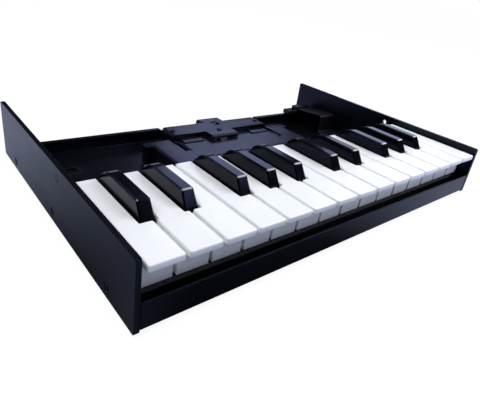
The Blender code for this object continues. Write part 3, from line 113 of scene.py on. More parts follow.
class Shade:
    """One material under construction, with the few textures that the finishes share."""

    def __init__(self, name: str) -> None:
        """Start a node material under a name."""
        self.material = bpy.data.materials.new(name)
        self.material.use_nodes = True
        self.tree = self.material.node_tree
        self.shader = self.tree.nodes["Principled BSDF"]
        self.place = add_node(self.tree, "ShaderNodeTexCoord").outputs["Object"]

    def noise(self, size_mm: float, detail: float = 3.0,
              stretch: Point = (1.0, 1.0, 1.0)) -> bpy.types.NodeSocket:
        """Return noise whose features are about size_mm wide, longer where stretch is over one.

        Args:
            size_mm: Width of a feature.
            detail: Octaves of finer noise.
            stretch: How many times longer a feature is along each axis.

        Returns:
            A value from 0 to 1.
        """
        scale = tuple(1.0 / factor for factor in stretch)
        mapped = add_node(self.tree, "ShaderNodeMapping", {"Vector": self.place, "Scale": scale})
        texture = add_node(self.tree, "ShaderNodeTexNoise", {
            "Vector": mapped.outputs["Vector"], "Scale": 1.0 / (size_mm * MM), "Detail": detail})
        return texture.outputs["Fac"]

    def cells(self, size_mm: float) -> bpy.types.NodeSocket:
        """Return the distance field of cells about size_mm wide."""
        texture = add_node(self.tree, "ShaderNodeTexVoronoi", {
            "Vector": self.place, "Scale": 1.0 / (size_mm * MM)})
        return texture.outputs["Distance"]

    def bands(self, pitch_mm: float, direction: str, wobble: float) -> bpy.types.NodeSocket:
        """Return soft stripes of a pitch across one axis."""
        texture = add_node(self.tree, "ShaderNodeTexWave", {
            "Vector": self.place, "Scale": WAVE_PERIOD / (pitch_mm * MM), "Distortion": wobble},
            wave_type="BANDS", bands_direction=direction)
        return texture.outputs["Fac"]

    def spread(self, value: bpy.types.NodeSocket, low: float, high: float,
               start: float = 0.3, end: float = 0.7) -> bpy.types.NodeSocket:
        """Map a value's middle range onto low to high."""
        node = add_node(self.tree, "ShaderNodeMapRange", {
            "Value": value, "From Min": start, "From Max": end, "To Min": low, "To Max": high})
        return node.outputs["Result"]

    def ramp(self, value: bpy.types.NodeSocket,
             stops: Sequence[tuple[float, str]]) -> bpy.types.NodeSocket:
        """Colour a value by hex stops.

        Args:
            value: Value to colour.
            stops: Position and hex colour of each stop.

        Returns:
            The colour.
        """
        node = add_node(self.tree, "ShaderNodeValToRGB", {"Fac": value})
        elements = node.color_ramp.elements
        while len(elements) < len(stops):
            elements.new(0.5)
        for element, (position, code) in zip(elements, stops):
            element.position = position
            element.color = linear(code)
        return node.outputs["Color"]

    def product(self, first: bpy.types.NodeSocket,
                second: bpy.types.NodeSocket) -> bpy.types.NodeSocket:
        """Multiply two values."""
        node = add_node(self.tree, "ShaderNodeMath", {0: first, 1: second}, operation="MULTIPLY")
        return node.outputs[0]

    def relief(self, height: bpy.types.NodeSocket, depth_mm: float,
               over: bpy.types.NodeSocket | None = None) -> bpy.types.NodeSocket:
        """Raise a bump of depth_mm, over another one where it is given.

        Args:
            height: Value that gives the height.
            depth_mm: Height of a value of one.
            over: Normal that this bump lies on.

        Returns:
            The new normal.
        """
        inputs = {"Height": height, "Distance": depth_mm * MM, "Strength": 1.0}
        if over is not None:
            inputs["Normal"] = over
        return add_node(self.tree, "ShaderNodeBump", inputs).outputs["Normal"]

    def finish(self, constants: dict[str, object],
               **links: bpy.types.NodeSocket) -> bpy.types.Material:
        """Set the shader's constants, link its varied inputs and return the material.

        Args:
            constants: Shader input name to value.
            **links: Base_Color, Roughness, Normal and the like, to sockets.

        Returns:
            The finished material.
        """
        for name, value in constants.items():
            self.shader.inputs[name].default_value = value
        for name, socket in links.items():
            self.tree.links.new(socket, self.shader.inputs[name.replace("_", " ")])
        return self.material


@dataclass(frozen=True)
class PowderCoat:
    """Satin polyester powder coat, sprayed and baked on sheet steel."""

    name: str = "satin_powder_coat"
    colour: str = "#060709"
    thin: str = "#0a0b10"
    roughness: float = 0.30
    cloud_mm: float = 38.0
    smudge_mm: float = 14.0
    peel_mm: float = 0.9
    peel_depth_mm: float = 0.006
    # The real grains are finer. These are drawn as coarse as they need to show.
    speckle_mm: float = 0.16
    speckle_depth_mm: float = 0.003
    specular: float = 0.3
    specular_tint: str = "#b4c0ea"

    def build(self) -> bpy.types.Material:
        """Build the coat: a faint orange peel, fine grains and hand smudges in the gloss.

        Returns:
            The material.
        """
        shade = Shade(self.name)
        cloud = shade.noise(self.cloud_mm, 2.0)
        speckle = shade.noise(self.speckle_mm, 4.0)
        peel = shade.noise(self.peel_mm, 2.0)
        smudge = shade.noise(self.smudge_mm, 5.0, (1.0, 2.4, 1.0))
        grain = shade.spread(speckle, self.roughness - 0.05, self.roughness + 0.05)
        handled = shade.spread(smudge, 0.94, 1.08)
        normal = shade.relief(speckle, self.speckle_depth_mm,
                              shade.relief(peel, self.peel_depth_mm))
        return shade.finish(
            {"Metallic": 0.0, "Specular IOR Level": self.specular,
             "Specular Tint": linear(self.specular_tint)},
            Base_Color=shade.ramp(cloud, [(0.35, self.colour), (0.68, self.thin)]),
            Roughness=shade.product(grain, handled), Normal=normal)


@dataclass(frozen=True)
class MouldedPlastic:
    """Injection moulded ABS, with the spark-eroded grain of its mould."""

    name: str
    colour: str
    lighter: str
    roughness: float
    grain_mm: float
    grain_depth_mm: float
    specular: float = 0.5
    specular_tint: str = "#ffffff"
    coat: float = 0.0
    coat_roughness: float = 0.18
    subsurface: float = 0.0
    subsurface_mm: float = 0.6
    flow_mm: float = 22.0

    def build(self) -> bpy.types.Material:
        """Build the plastic: mould grain, flow marks and a slightly uneven gloss.

        Returns:
            The material.
        """
        shade = Shade(self.name)
        flow = shade.noise(self.flow_mm, 2.0, (1.0, 3.0, 1.0))
        grain = shade.noise(self.grain_mm, 4.0)
        pits = shade.cells(self.grain_mm * 1.7)
        gloss = shade.spread(flow, self.roughness - 0.03, self.roughness + 0.04)
        normal = shade.relief(pits, self.grain_depth_mm * 0.5,
                              shade.relief(grain, self.grain_depth_mm))
        return shade.finish(
            {"Specular IOR Level": self.specular,
             "Specular Tint": linear(self.specular_tint), "Coat Weight": self.coat,
             "Coat Roughness": self.coat_roughness, "Subsurface Weight": self.subsurface,
             "Subsurface Scale": self.subsurface_mm * MM},
            Base_Color=shade.ramp(flow, [(0.3, self.colour), (0.75, self.lighter)]),
            Roughness=shade.product(gloss, shade.spread(grain, 0.96, 1.05)), Normal=normal)


@dataclass(frozen=True)
class DrawnSteel:
    """Bare steel wire, rod or strip with drawing or rolling marks along X."""

    name: str = "drawn_bright_steel"
    colour: str = "#c9ccd2"
    dull: str = "#9ca0a8"
    roughness: float = 0.27
    anisotropy: float = 0.45
    line_mm: float = 0.12
    line_depth_mm: float = 0.0025
    cloud_mm: float = 6.0

    def build(self) -> bpy.types.Material:
        """Build the steel: long hairlines and a slightly cloudy oxide.

        Returns:
            The material.
        """
        shade = Shade(self.name)
        lines = shade.noise(self.line_mm, 3.0, (60.0, 1.0, 1.0))
        cloud = shade.noise(self.cloud_mm, 3.0)
        return shade.finish(
            {"Metallic": 1.0, "Anisotropic": self.anisotropy},
            Base_Color=shade.ramp(cloud, [(0.35, self.colour), (0.72, self.dull)]),
            Roughness=shade.product(
                shade.spread(lines, self.roughness - 0.06, self.roughness + 0.1),
                shade.spread(cloud, 0.95, 1.15)),
            Normal=shade.relief(lines, self.line_depth_mm))


@dataclass(frozen=True)
class BlackZinc:
    """Zinc plate under a black chromate, on screws."""

    name: str = "black_zinc_plate"
    colour: str = "#30323a"
    bloom: str = "#4a5064"
    roughness: float = 0.33
    bloom_mm: float = 1.6
    # Real crystals are finer. These are drawn as coarse as they need to show.
    crystal_mm: float = 0.07
    crystal_depth_mm: float = 0.002

    def build(self) -> bpy.types.Material:
        """Build the plate: a blue bloom in patches and a fine crystal grain.

        Returns:
            The material.
        """
        shade = Shade(self.name)
        bloom = shade.noise(self.bloom_mm, 3.0)
        crystal = shade.cells(self.crystal_mm)
        return shade.finish(
            {"Metallic": 1.0},
            Base_Color=shade.ramp(bloom, [(0.4, self.colour), (0.75, self.bloom)]),
            Roughness=shade.spread(bloom, self.roughness - 0.05, self.roughness + 0.1),
            Normal=shade.relief(crystal, self.crystal_depth_mm))


@dataclass(frozen=True)
class MouldedRubber:
    """Compression moulded rubber with a dusty, slightly bloomed skin."""

    name: str = "moulded_rubber"
    colour: str = "#151517"
    bloom: str = "#232326"
    roughness: Pair = (0.68, 0.84)
    bloom_mm: float = 4.0
    skin_mm: float = 0.22
    skin_depth_mm: float = 0.02

    def build(self) -> bpy.types.Material:
        """Build the rubber: a soft pitted skin and patches of bloom.

        Returns:
            The material.
        """
        shade = Shade(self.name)
        bloom = shade.noise(self.bloom_mm, 4.0)
        skin = shade.noise(self.skin_mm, 4.0)
        return shade.finish(
            {"Specular IOR Level": 0.35},
            Base_Color=shade.ramp(bloom, [(0.4, self.colour), (0.8, self.bloom)]),
            Roughness=shade.spread(bloom, *self.roughness),
            Normal=shade.relief(skin, self.skin_depth_mm))


@dataclass(frozen=True)
class PressedFelt:
    """Dense wool felt, cut from a sheet, with stray fibres."""

    name: str = "pressed_felt"
    colour: str = "#1c1c20"
    fibre: str = "#35353c"
    roughness: Pair = (0.9, 0.98)
    # Real fibres are finer. These are drawn as coarse as they need to show.
    along_mm: float = 0.09
    across_mm: float = 0.11
    fibre_depth_mm: float = 0.08
    lump_mm: float = 1.3
    lump_depth_mm: float = 0.12

    def build(self) -> bpy.types.Material:
        """Build the felt: two crossing layers of fibres over a lumpy mat.

        Returns:
            The material.
        """
        shade = Shade(self.name)
        along = shade.noise(self.along_mm, 3.0, (12.0, 1.0, 1.0))
        across = shade.noise(self.across_mm, 3.0, (1.0, 9.0, 1.4))
        mat = shade.product(along, across)
        lumps = shade.noise(self.lump_mm, 3.0)
        return shade.finish(
            {"Sheen Weight": 0.6, "Sheen Roughness": 0.5, "Specular IOR Level": 0.2},
            Base_Color=shade.ramp(mat, [(0.15, self.colour), (0.45, self.fibre)]),
            Roughness=shade.spread(lumps, *self.roughness),
            Normal=shade.relief(mat, self.fibre_depth_mm,
                                shade.relief(lumps, self.lump_depth_mm)))


@dataclass(frozen=True)
class CircuitBoard:
    """Glass laminate with copper tracks under a green solder mask."""

    name: str = "masked_circuit_board"
    mask: str = "#0c3a20"
    track: str = "#1f6a3c"
    roughness: Pair = (0.34, 0.44)
    pitch_mm: float = 1.27
    group_mm: float = 9.0
    copper_mm: float = 0.03
    weave_mm: float = 0.5
    weave_depth_mm: float = 0.004

    def build(self) -> bpy.types.Material:
        """Build the board: raised tracks in one direction, broken up in groups.

        Returns:
            The material.
        """
        shade = Shade(self.name)
        tracks = shade.spread(shade.bands(self.pitch_mm, "Y", 0.0), 0.0, 1.0, 0.55, 0.62)
        groups = shade.spread(
            shade.noise(self.group_mm, 0.0, (2.5, 1.0, 1.0)), 0.0, 1.0, 0.48, 0.5)
        copper = shade.product(tracks, groups)
        weave = shade.bands(self.weave_mm, "X", 0.4)
        return shade.finish(
            {"Coat Weight": 0.3, "Coat Roughness": 0.2},
            Base_Color=shade.ramp(copper, [(0.0, self.mask), (1.0, self.track)]),
            Roughness=shade.spread(weave, *self.roughness),
            Normal=shade.relief(copper, self.copper_mm,
                                shade.relief(weave, self.weave_depth_mm)))


@dataclass(frozen=True)
class FlatLeadJacket:
    """Soft vinyl jacket drawn over a row of flat conductors."""

    name: str = "flat_lead_jacket"
    colour: str = "#090a0d"
    worn: str = "#101117"
    roughness: Pair = (0.4, 0.5)
    die_mm: float = 0.2
    die_depth_mm: float = 0.006
    wax_mm: float = 7.0

    def build(self) -> bpy.types.Material:
        """Build the jacket: die lines along the run and a waxy gloss.

        Returns:
            The material.
        """
        shade = Shade(self.name)
        die = shade.noise(self.die_mm, 2.0, (1.0, 40.0, 40.0))
        wax = shade.noise(self.wax_mm, 3.0)
        return shade.finish(
            {"Specular IOR Level": 0.24},
            Base_Color=shade.ramp(wax, [(0.35, self.colour), (0.75, self.worn)]),
            Roughness=shade.product(
                shade.spread(die, *self.roughness), shade.spread(wax, 0.9, 1.15)),
            Normal=shade.relief(die, self.die_depth_mm))


class Finish(Enum):
    """Every finish on the object. The value pairs the record's slot with its recipe."""

    POWDER_COAT = ("black_steel", PowderCoat())
    WHITE_ABS = ("white_plastic", MouldedPlastic(
        "white_key_abs", "#f3f4f5", "#f8f9fa", 0.34, 0.14, 0.0015, coat=0.15, subsurface=0.04))
    BLACK_ABS = ("key_black", MouldedPlastic(
        "black_key_abs", "#040406", "#07070a", 0.16, 0.11, 0.0012, specular=0.2,
        specular_tint="#a4b2e6"))
    GREY_NYLON = ("black_plastic", MouldedPlastic(
        "black_glass_filled_nylon", "#060709", "#0b0c10", 0.34, 0.2, 0.005, specular=0.3))
    STEEL = ("bright_steel", DrawnSteel())
    ZINC = ("black_zinc", BlackZinc())
    RUBBER = ("rubber", MouldedRubber())
    FELT = ("felt", PressedFelt())
    BOARD = ("board_green", CircuitBoard())
    JACKET = ("ribbon_black", FlatLeadJacket())
    # A lighter, glossier copy of the black key plastic, on the brow chamfer only: a painted
    # highlight.
    BROW_HIGHLIGHT_ABS = ("key_black", MouldedPlastic(
        "polished_key_edge", "#07070a", "#0a0a0e", 0.10, 0.11, 0.0004, specular=1.0))

    @property
    def slot(self) -> str:
        """The record's material slot."""
        return self.value[0]


class FinishShelf:
    """Builds each finish once and hands it out."""

    def __init__(self) -> None:
        """Start with an empty shelf."""
        self._built: dict[Finish, bpy.types.Material] = {}

    def take(self, finish: Finish) -> bpy.types.Material:
        """Return the material of a finish.

        Args:
            finish: Finish that is wanted.

        Returns:
            The material.
        """
        if finish not in self._built:
            self._built[finish] = finish.value[1].build()
        return self._built[finish]


def prism(points: Sequence[Pair], axis: str, low: float, high: float) -> bmesh.types.BMesh:
    """Extrude a flat outline along one axis.

    Args:
        points: Outline as (y, z) along X, (x, z) along Y or (x, y) along Z.
        axis: X, Y or Z.
        low: Where the extrusion starts.
        high: Where it ends.

    Returns:
        A closed mesh.
    """
    bm = bmesh.new()
    place = {
        "X": lambda a, b: (low, a, b),
        "Y": lambda a, b: (a, low, b),
        "Z": lambda a, b: (a, b, low),
    }[axis]
    step = {"X": (high - low, 0, 0), "Y": (0, high - low, 0), "Z": (0, 0, high - low)}[axis]
    base = bm.faces.new([bm.verts.new(place(a, b)) for a, b in points])
    swept = bmesh.ops.extrude_face_region(bm, geom=[base], use_keep_orig=True)
    moving = [v for v in swept["geom"] if isinstance(v, bmesh.types.BMVert)]
    bmesh.ops.translate(bm, verts=moving, vec=step)
    bmesh.ops.recalc_face_normals(bm, faces=bm.faces[:])
    return bm


def block(x: Pair, y: Pair, z: Pair) -> bmesh.types.BMesh:
    """Make a cuboid from its (low, high) pair along each axis.

    Args:
        x: Span along X.
        y: Span along Y.
        z: Span along Z.

    Returns:
        A closed mesh.
    """
    bm = bmesh.new()
    bmesh.ops.create_cube(bm, size=1.0)
    bmesh.ops.scale(bm, verts=bm.verts[:], vec=[pair[1] - pair[0] for pair in (x, y, z)])
    bmesh.ops.translate(
        bm, verts=bm.verts[:], vec=[(pair[1] + pair[0]) / 2 for pair in (x, y, z)])
    return bm


def turned(profile: Sequence[Pair], steps: int = 32) -> bmesh.types.BMesh:
    """Turn a profile of (radius, height) pairs about Z.

    Args:
        profile: Points from the axis round to the axis again.
        steps: Facets round the axis.

    Returns:
        A closed mesh.
    """
    bm = bmesh.new()
    verts = [bm.verts.new((radius, 0, height)) for radius, height in profile]
    edges = [bm.edges.new(pair) for pair in zip(verts, verts[1:])]
    bmesh.ops.spin(
        bm, geom=verts + edges, cent=(0, 0, 0), axis=(0, 0, 1), angle=math.tau, steps=steps,
        use_merge=True)
    bmesh.ops.remove_doubles(bm, verts=bm.verts[:], dist=TOUCH / 10)
    bmesh.ops.recalc_face_normals(bm, faces=bm.faces[:])
    return bm


def moved(bm: bmesh.types.BMesh, location: Sequence[float],
          turn: Matrix | None = None) -> bmesh.types.BMesh:
    """Turn a mesh about the origin, then move it.

    Args:
        bm: Mesh to move, which is changed.
        location: How far it moves.
        turn: Turn about the origin, made first.

    Returns:
        The same mesh.
    """
    matrix = Matrix.Translation(location)
    if turn is not None:
        matrix = matrix @ turn
    bmesh.ops.transform(bm, matrix=matrix, verts=bm.verts[:])
    return bm


def rod_x(radius: float, span: Pair, y: float, z: float, chamfer: float = 0.0,
          steps: int = 28) -> bmesh.types.BMesh:
    """Make a round bar along X, with chamfered ends where a chamfer is given.

    Args:
        radius: Radius of the bar.
        span: Its ends along X.
        y: Its axis along Y.
        z: Its axis along Z.
        chamfer: Chamfer of its ends.
        steps: Facets round it.

    Returns:
        A closed mesh.
    """
    low, high = span
    if chamfer:
        profile = [(0, low), (radius - chamfer, low), (radius, low + chamfer),
                   (radius, high - chamfer), (radius - chamfer, high), (0, high)]
    else:
        profile = [(0, low), (radius, low), (radius, high), (0, high)]
    return moved(turned(profile, steps), (0, y, z), Matrix.Rotation(math.radians(90), 4, "Y"))


def rod_z(radius: float, x: float, y: float, span: Pair, steps: int = 24) -> bmesh.types.BMesh:
    """Make a round upright bar."""
    low, high = span
    return moved(turned([(0, low), (radius, low), (radius, high), (0, high)], steps), (x, y, 0))


def rounded_outline(corners: Sequence[Pair], radii: Sequence[float],
                    steps: int = 5) -> list[Pair]:
    """Round the corners of an outline.

    Args:
        corners: Corners in order.
        radii: One radius for each corner, zero for a sharp one.
        steps: Segments in each rounded corner.

    Returns:
        The outline with an arc at each rounded corner.
    """
    points: list[Pair] = []
    for index, (corner, radius) in enumerate(zip(corners, radii)):
        here = Vector(corner)
        if radius <= 0:
            points.append(corner)
            continue
        back = (Vector(corners[index - 1]) - here).normalized()
        on = (Vector(corners[(index + 1) % len(corners)]) - here).normalized()
        half_angle = back.angle(on) / 2
        reach = radius / math.tan(half_angle)
        centre = here + (back + on).normalized() * (radius / math.sin(half_angle))
        start = here + back * reach - centre
        end = here + on * reach - centre
        sweep = start.angle_signed(end)
        for step in range(steps + 1):
            angle = -sweep * step / steps
            points.append((
                centre.x + start.x * math.cos(angle) - start.y * math.sin(angle),
                centre.y + start.x * math.sin(angle) + start.y * math.cos(angle)))
    return points


def wrap(bm: bmesh.types.BMesh, name: str) -> bpy.types.Object:
    """Put a mesh in an object of the scene, and free the mesh.

    Args:
        bm: Mesh, which is freed.
        name: Name of the object and its mesh.

    Returns:
        The object.
    """
    mesh = bpy.data.meshes.new(name)
    bm.to_mesh(mesh)
    bm.free()
    item = bpy.data.objects.new(name, mesh)
    bpy.context.scene.collection.objects.link(item)
    return item


def unwrap(item: bpy.types.Object) -> bmesh.types.BMesh:
    """Take an object's mesh with its modifiers applied, and remove the object.

    Args:
        item: Object, which is removed.

    Returns:
        Its evaluated mesh.
    """
    graph = bpy.context.evaluated_depsgraph_get()
    mesh = bpy.data.meshes.new_from_object(item.evaluated_get(graph))
    bm = bmesh.new()
    bm.from_mesh(mesh)
    source = item.data
    bpy.data.objects.remove(item, do_unlink=True)
    bpy.data.meshes.remove(source)
    bpy.data.meshes.remove(mesh)
    return bm


def break_edges(item: bpy.types.Object, radius_mm: float, steps: int) -> None:
    """Round the sharp edges of a piece, and keep the result as its mesh.

    Args:
        item: Piece, shaded smooth.
        radius_mm: Radius of the edges.
        steps: Segments of that radius.
    """
    modifier = item.modifiers.new("edge", "BEVEL")
    modifier.width = radius_mm * MM
    modifier.segments = steps
    modifier.limit_method = "ANGLE"
    modifier.angle_limit = SHARP_ANGLE
    modifier.harden_normals = True
    modifier.use_clamp_overlap = True
    graph = bpy.context.evaluated_depsgraph_get()
    source = item.data
    rounded = bpy.data.meshes.new_from_object(item.evaluated_get(graph))
    item.modifiers.clear()
    item.data = rounded
    bpy.data.meshes.remove(source)
    rounded.name = item.name


def combine(body: bmesh.types.BMesh, tools: Iterable[bmesh.types.BMesh],
            operation: str) -> bmesh.types.BMesh:
    """Fuse tools with a body, or cut them out of it.

    Args:
        body: Mesh to change.
        tools: Closed meshes. They may overlap one another.
        operation: UNION or DIFFERENCE.

    Returns:
        The new mesh. The others are freed.
    """
    gathered = bmesh.new()
    for tool in tools:
        mesh = bpy.data.meshes.new("tool")
        tool.to_mesh(mesh)
        tool.free()
        gathered.from_mesh(mesh)
        bpy.data.meshes.remove(mesh)
    item, cutter = wrap(body, "body"), wrap(gathered, "cutter")
    modifier = item.modifiers.new("combine", "BOOLEAN")
    modifier.operation = operation
    modifier.solver = "EXACT"
    modifier.use_self = True
    modifier.object = cutter
    result = unwrap(item)
    mesh = cutter.data
    bpy.data.objects.remove(cutter, do_unlink=True)
    bpy.data.meshes.remove(mesh)
    bmesh.ops.dissolve_limit(
        result, angle_limit=math.radians(0.1), verts=result.verts[:], edges=result.edges[:])
    return result


def cut(body: bmesh.types.BMesh, *tools: bmesh.types.BMesh) -> bmesh.types.BMesh:
    """Cut every tool out of a body."""
    return combine(body, tools, "DIFFERENCE")


def join(body: bmesh.types.BMesh, *tools: bmesh.types.BMesh) -> bmesh.types.BMesh:
    """Fuse every tool with a body."""
    return combine(body, tools, "UNION")


def mirrored(panels: list[list[Point]]) -> list[list[Point]]:
    """Repeat panels on the other side of the middle plane."""
    return panels + [[(-x, y, z) for x, y, z in reversed(corners)] for corners in panels]


@dataclass(frozen=True)
class SheetMetal:
    """Cold rolled steel, blanked and folded on a press brake."""

    thickness: float = 0.0012
    bend: float = 0.0012
    bend_steps: int = 6
    relief: float = 0.0019
    relief_width: float = 0.0006

    def fold(self, panels: list[list[Point]]) -> bmesh.types.BMesh:
        """Fold a sheet from flat panels on its middle surface.

        Args:
            panels: Corners of each panel. Panels that share an edge are folded along it.

        Returns:
            The sheet as a closed solid with round bends.
        """
        bm = bmesh.new()
        for corners in panels:
            bm.faces.new([bm.verts.new(corner) for corner in corners])
        bmesh.ops.remove_doubles(bm, verts=bm.verts[:], dist=TOUCH)
        bmesh.ops.recalc_face_normals(bm, faces=bm.faces[:])
        folds = [edge for edge in bm.edges if len(edge.link_faces) == 2]
        bmesh.ops.bevel(
            bm, geom=folds, offset=self.bend, segments=self.bend_steps, profile=0.5,
            affect="EDGES", material=-1)
        item = wrap(bm, "sheet")
        wall = item.modifiers.new("sheet", "SOLIDIFY")
        wall.thickness = self.thickness
        wall.offset = 0.0
        wall.use_even_offset = True
        solid = unwrap(item)
        bmesh.ops.recalc_face_normals(solid, faces=solid.faces[:])
        return solid

    def end_relief(self, x: float, edge: float, y: float, inward: int,
                   side: int = 1) -> list[Pair]:
        """Return the notch that frees a side fold from the flange across its end.

        Args:
            x: Fold line of the side.
            edge: Where the flange across the end stops.
            y: Fold line of that flange.
            inward: Sign of Y away from the flange.
            side: Sign of X towards the free edge.

        Returns:
            Outline points, from the side's fold to the flange's edge.
        """
        near = y + inward * self.relief
        far = near + inward * self.relief_width
        inner = x - side * self.relief
        return [(x, far), (inner, far), (inner, near), (edge, near), (edge, y)]


@dataclass(frozen=True)
class Datum:
    """Overall sizes and the levels that several sub-assemblies share."""

    width: float = 0.309
    depth: float = 0.2076
    panel_height: float = 0.0396
    panel_thickness: float = 0.0028
    foot_proud: float = 0.0016
    pan_setback: float = 0.0008
    rear_wall_setback: float = 0.0172
    rear_wall_height: float = 0.0125
    key_top_drop: float = 0.0048
    key_length: float = 0.080
    key_depth: float = 0.0194
    pivot_back: float = 0.0065
    pivot_drop: float = 0.0217
    platform_front: float = 0.099
    platform_rise: float = 0.0161
    dock_rise: float = 0.004
    sheet: SheetMetal = field(default_factory=SheetMetal)

    @property
    def panel_bottom(self) -> float:
        """Underside of the side panels."""
        return self.foot_proud

    @property
    def panel_top(self) -> float:
        """Top of the side panels."""
        return self.panel_bottom + self.panel_height

    @property
    def inner(self) -> float:
        """Inner face of a side panel."""
        return self.width / 2 - self.panel_thickness

    @property
    def pan_half(self) -> float:
        """Outer side of the pan."""
        return self.inner - SEAT

    @property
    def pan_bottom(self) -> float:
        """Underside of the pan."""
        return self.panel_bottom + self.pan_setback

    @property
    def floor(self) -> float:
        """Upper side of the pan's floor."""
        return self.pan_bottom + self.sheet.thickness

    @property
    def rear_wall(self) -> float:
        """Outer face of the pan's rear wall."""
        return self.depth - self.rear_wall_setback

    @property
    def rear_wall_top(self) -> float:
        """Top of the pan's rear wall."""
        return self.pan_bottom + self.rear_wall_height

    @property
    def key_top(self) -> float:
        """Top of the white keys."""
        return self.panel_top - self.key_top_drop

    @property
    def skirt_bottom(self) -> float:
        """Underside of the keys."""
        return self.key_top - self.key_depth

    @property
    def pivot(self) -> Pair:
        """Y and Z of the key rod."""
        return self.key_length + self.pivot_back, self.key_top - self.pivot_drop

    @property
    def platform_top(self) -> float:
        """Top of the platform and of the tilting plate."""
        return self.floor + self.platform_rise

    @property
    def dock_top(self) -> float:
        """Top of the dock bracket."""
        return self.platform_top + self.dock_rise


class Workshop:
    """Finishes pieces: edges, normals, material, the body they ride on."""

    def __init__(self, datum: Datum) -> None:
        """Open the workshop with the shared sizes and an empty shelf of finishes."""
        self.datum = datum
        self.shelf = FinishShelf()

    def deliver(self, name: str, bm: bmesh.types.BMesh, finish: Finish, body: str,
                node: str, edge_mm: float = 0.0, edge_steps: int = 2,
                second: Finish | None = None) -> bpy.types.Object:
        """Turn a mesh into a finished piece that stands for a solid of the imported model.

        Args:
            name: Piece name.
            bm: Mesh in the tray's frame. It is freed.
            finish: Finish of the piece.
            body: Body that it rides on.
            node: Solid that it replaces.
            edge_mm: Radius that breaks the remaining sharp edges.
            edge_steps: Segments of that radius.
            second: Finish of the faces whose material index is one.

        Returns:
            The piece, at the origin and unturned.
        """
        bmesh.ops.translate(bm, verts=bm.verts[:], vec=(0, -self.datum.depth / 2, 0))
        item = wrap(bm, name)
        item.data.shade_smooth()
        item.data.set_sharp_from_angle(angle=SHARP_ANGLE)
        if edge_mm:
            break_edges(item, edge_mm, edge_steps)
        item.data.materials.append(self.shelf.take(finish))
        if second is not None:
            item.data.materials.append(self.shelf.take(second))
        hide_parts(node)
        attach(item, body)
        LOG.info("%s: %d faces", name, len(item.data.polygons))
        return item

    def dress(self, node: str, finish: Finish) -> None:
        """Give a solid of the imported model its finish, with its mesh as it is."""
        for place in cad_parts[node].material_slots:
            place.material = self.shelf.take(finish)


@dataclass
class SidePanels:
    """Two thick steel side panels with countersunk and open holes, and their screws."""

    shop: Workshop
    corner: float = 0.0014
    screw_rise: float = 0.0061
    screw_front: float = 0.027
    screw_pitch: float = 0.075
    head: float = 0.0028
    head_depth: float = 0.0014
    head_rim: float = 0.0001
    sink_land: float = 0.0002
    shank: float = 0.0015
    core_share: float = 0.86
    # How far down each turn of the thread its root and its crest begin and end.
    thread: Sequence[float] = (0.00012, 0.00025, 0.00037, 0.0005)
    recess_share: float = 0.62
    recess_depth: float = 0.0011
    hole: float = 0.0022
    hole_back: float = 0.0105
    hole_drop: float = 0.0067

    def screw_places(self) -> list[Pair]:
        """Return the (y, z) places of the screws in each panel."""
        z = self.shop.datum.panel_bottom + self.screw_rise
        return [(self.screw_front + index * self.screw_pitch, z) for index in range(3)]

    def hole_place(self) -> Pair:
        """Return the (y, z) place of the hole that the module's peg or the block's peg fills."""
        datum = self.shop.datum
        return datum.key_length + self.hole_back, datum.panel_top - self.hole_drop

    def panel(self, side: int) -> bmesh.types.BMesh:
        """Model one panel with its sinks and hole.

        Args:
            side: Sign of X: -1 is left and 1 is right.

        Returns:
            A closed mesh.
        """
        datum = self.shop.datum
        low, high = datum.panel_bottom, datum.panel_top
        outline = rounded_outline(
            [(0, low), (datum.depth, low), (datum.depth, high), (0, high)], [self.corner] * 4, 7)
        span = tuple(sorted((side * datum.inner, side * datum.width / 2)))
        panel = prism(outline, "X", *span)
        turn = Matrix.Rotation(side * math.radians(90), 4, "Y")
        tools = []
        for y, z in self.screw_places():
            head = self.head + SEAT
            bore = self.shank + SEAT
            deep = -datum.panel_thickness * 2
            sink = turned([(0, SEAT), (head, SEAT), (head, -self.sink_land),
                           (bore, -self.head_depth), (bore, deep), (0, deep)], 36)
            tools.append(moved(sink, (side * datum.width / 2, y, z), turn))
        y, z = self.hole_place()
        tools.append(rod_x(self.hole, (span[0] - SEAT, span[1] + SEAT), y, z, steps=40))
        return cut(panel, *tools)

    def screw(self) -> bmesh.types.BMesh:
        """Model a countersunk screw with a cross recess, its flat face at zero.

        Returns:
            A closed mesh that points down.
        """
        length = self.shop.datum.panel_thickness + SEAT + self.shop.datum.sheet.thickness
        core, pitch = self.shank * self.core_share, self.thread[-1]
        radii = (core, core, self.shank, self.shank)
        profile = [(0, 0), (self.head - self.head_rim, 0), (self.head, -self.head_rim),
                   (self.shank, -self.head_depth)]
        z = -self.head_depth
        while z > -length + pitch:
            profile += [(radius, z - drop) for radius, drop in zip(radii, self.thread)]
            z -= pitch
        profile += [(core, -length), (0, -length)]
        return cut(turned(profile, 32),
                   *cross_recess(self.head * self.recess_share, self.recess_depth))

    def build(self) -> None:
        """Build both panels and their six screws."""
        datum = self.shop.datum
        for name, side in (("left", -1), ("right", 1)):
            self.shop.deliver(f"{name}_panel_sheet", self.panel(side), Finish.POWDER_COAT,
                              "frame", f"{name}_side_panel", PLATE_EDGE_MM, 4)
            turn = Matrix.Rotation(side * math.radians(90), 4, "Y")
            for place, (y, z) in zip(("front", "middle", "rear"), self.screw_places()):
                at = (side * (datum.width / 2 - SEAT), y, z)
                self.shop.deliver(
                    f"{name}_{place}_countersunk_screw", moved(self.screw(), at, turn),
                    Finish.ZINC, "frame", f"panel_screw_{name}_{place}")


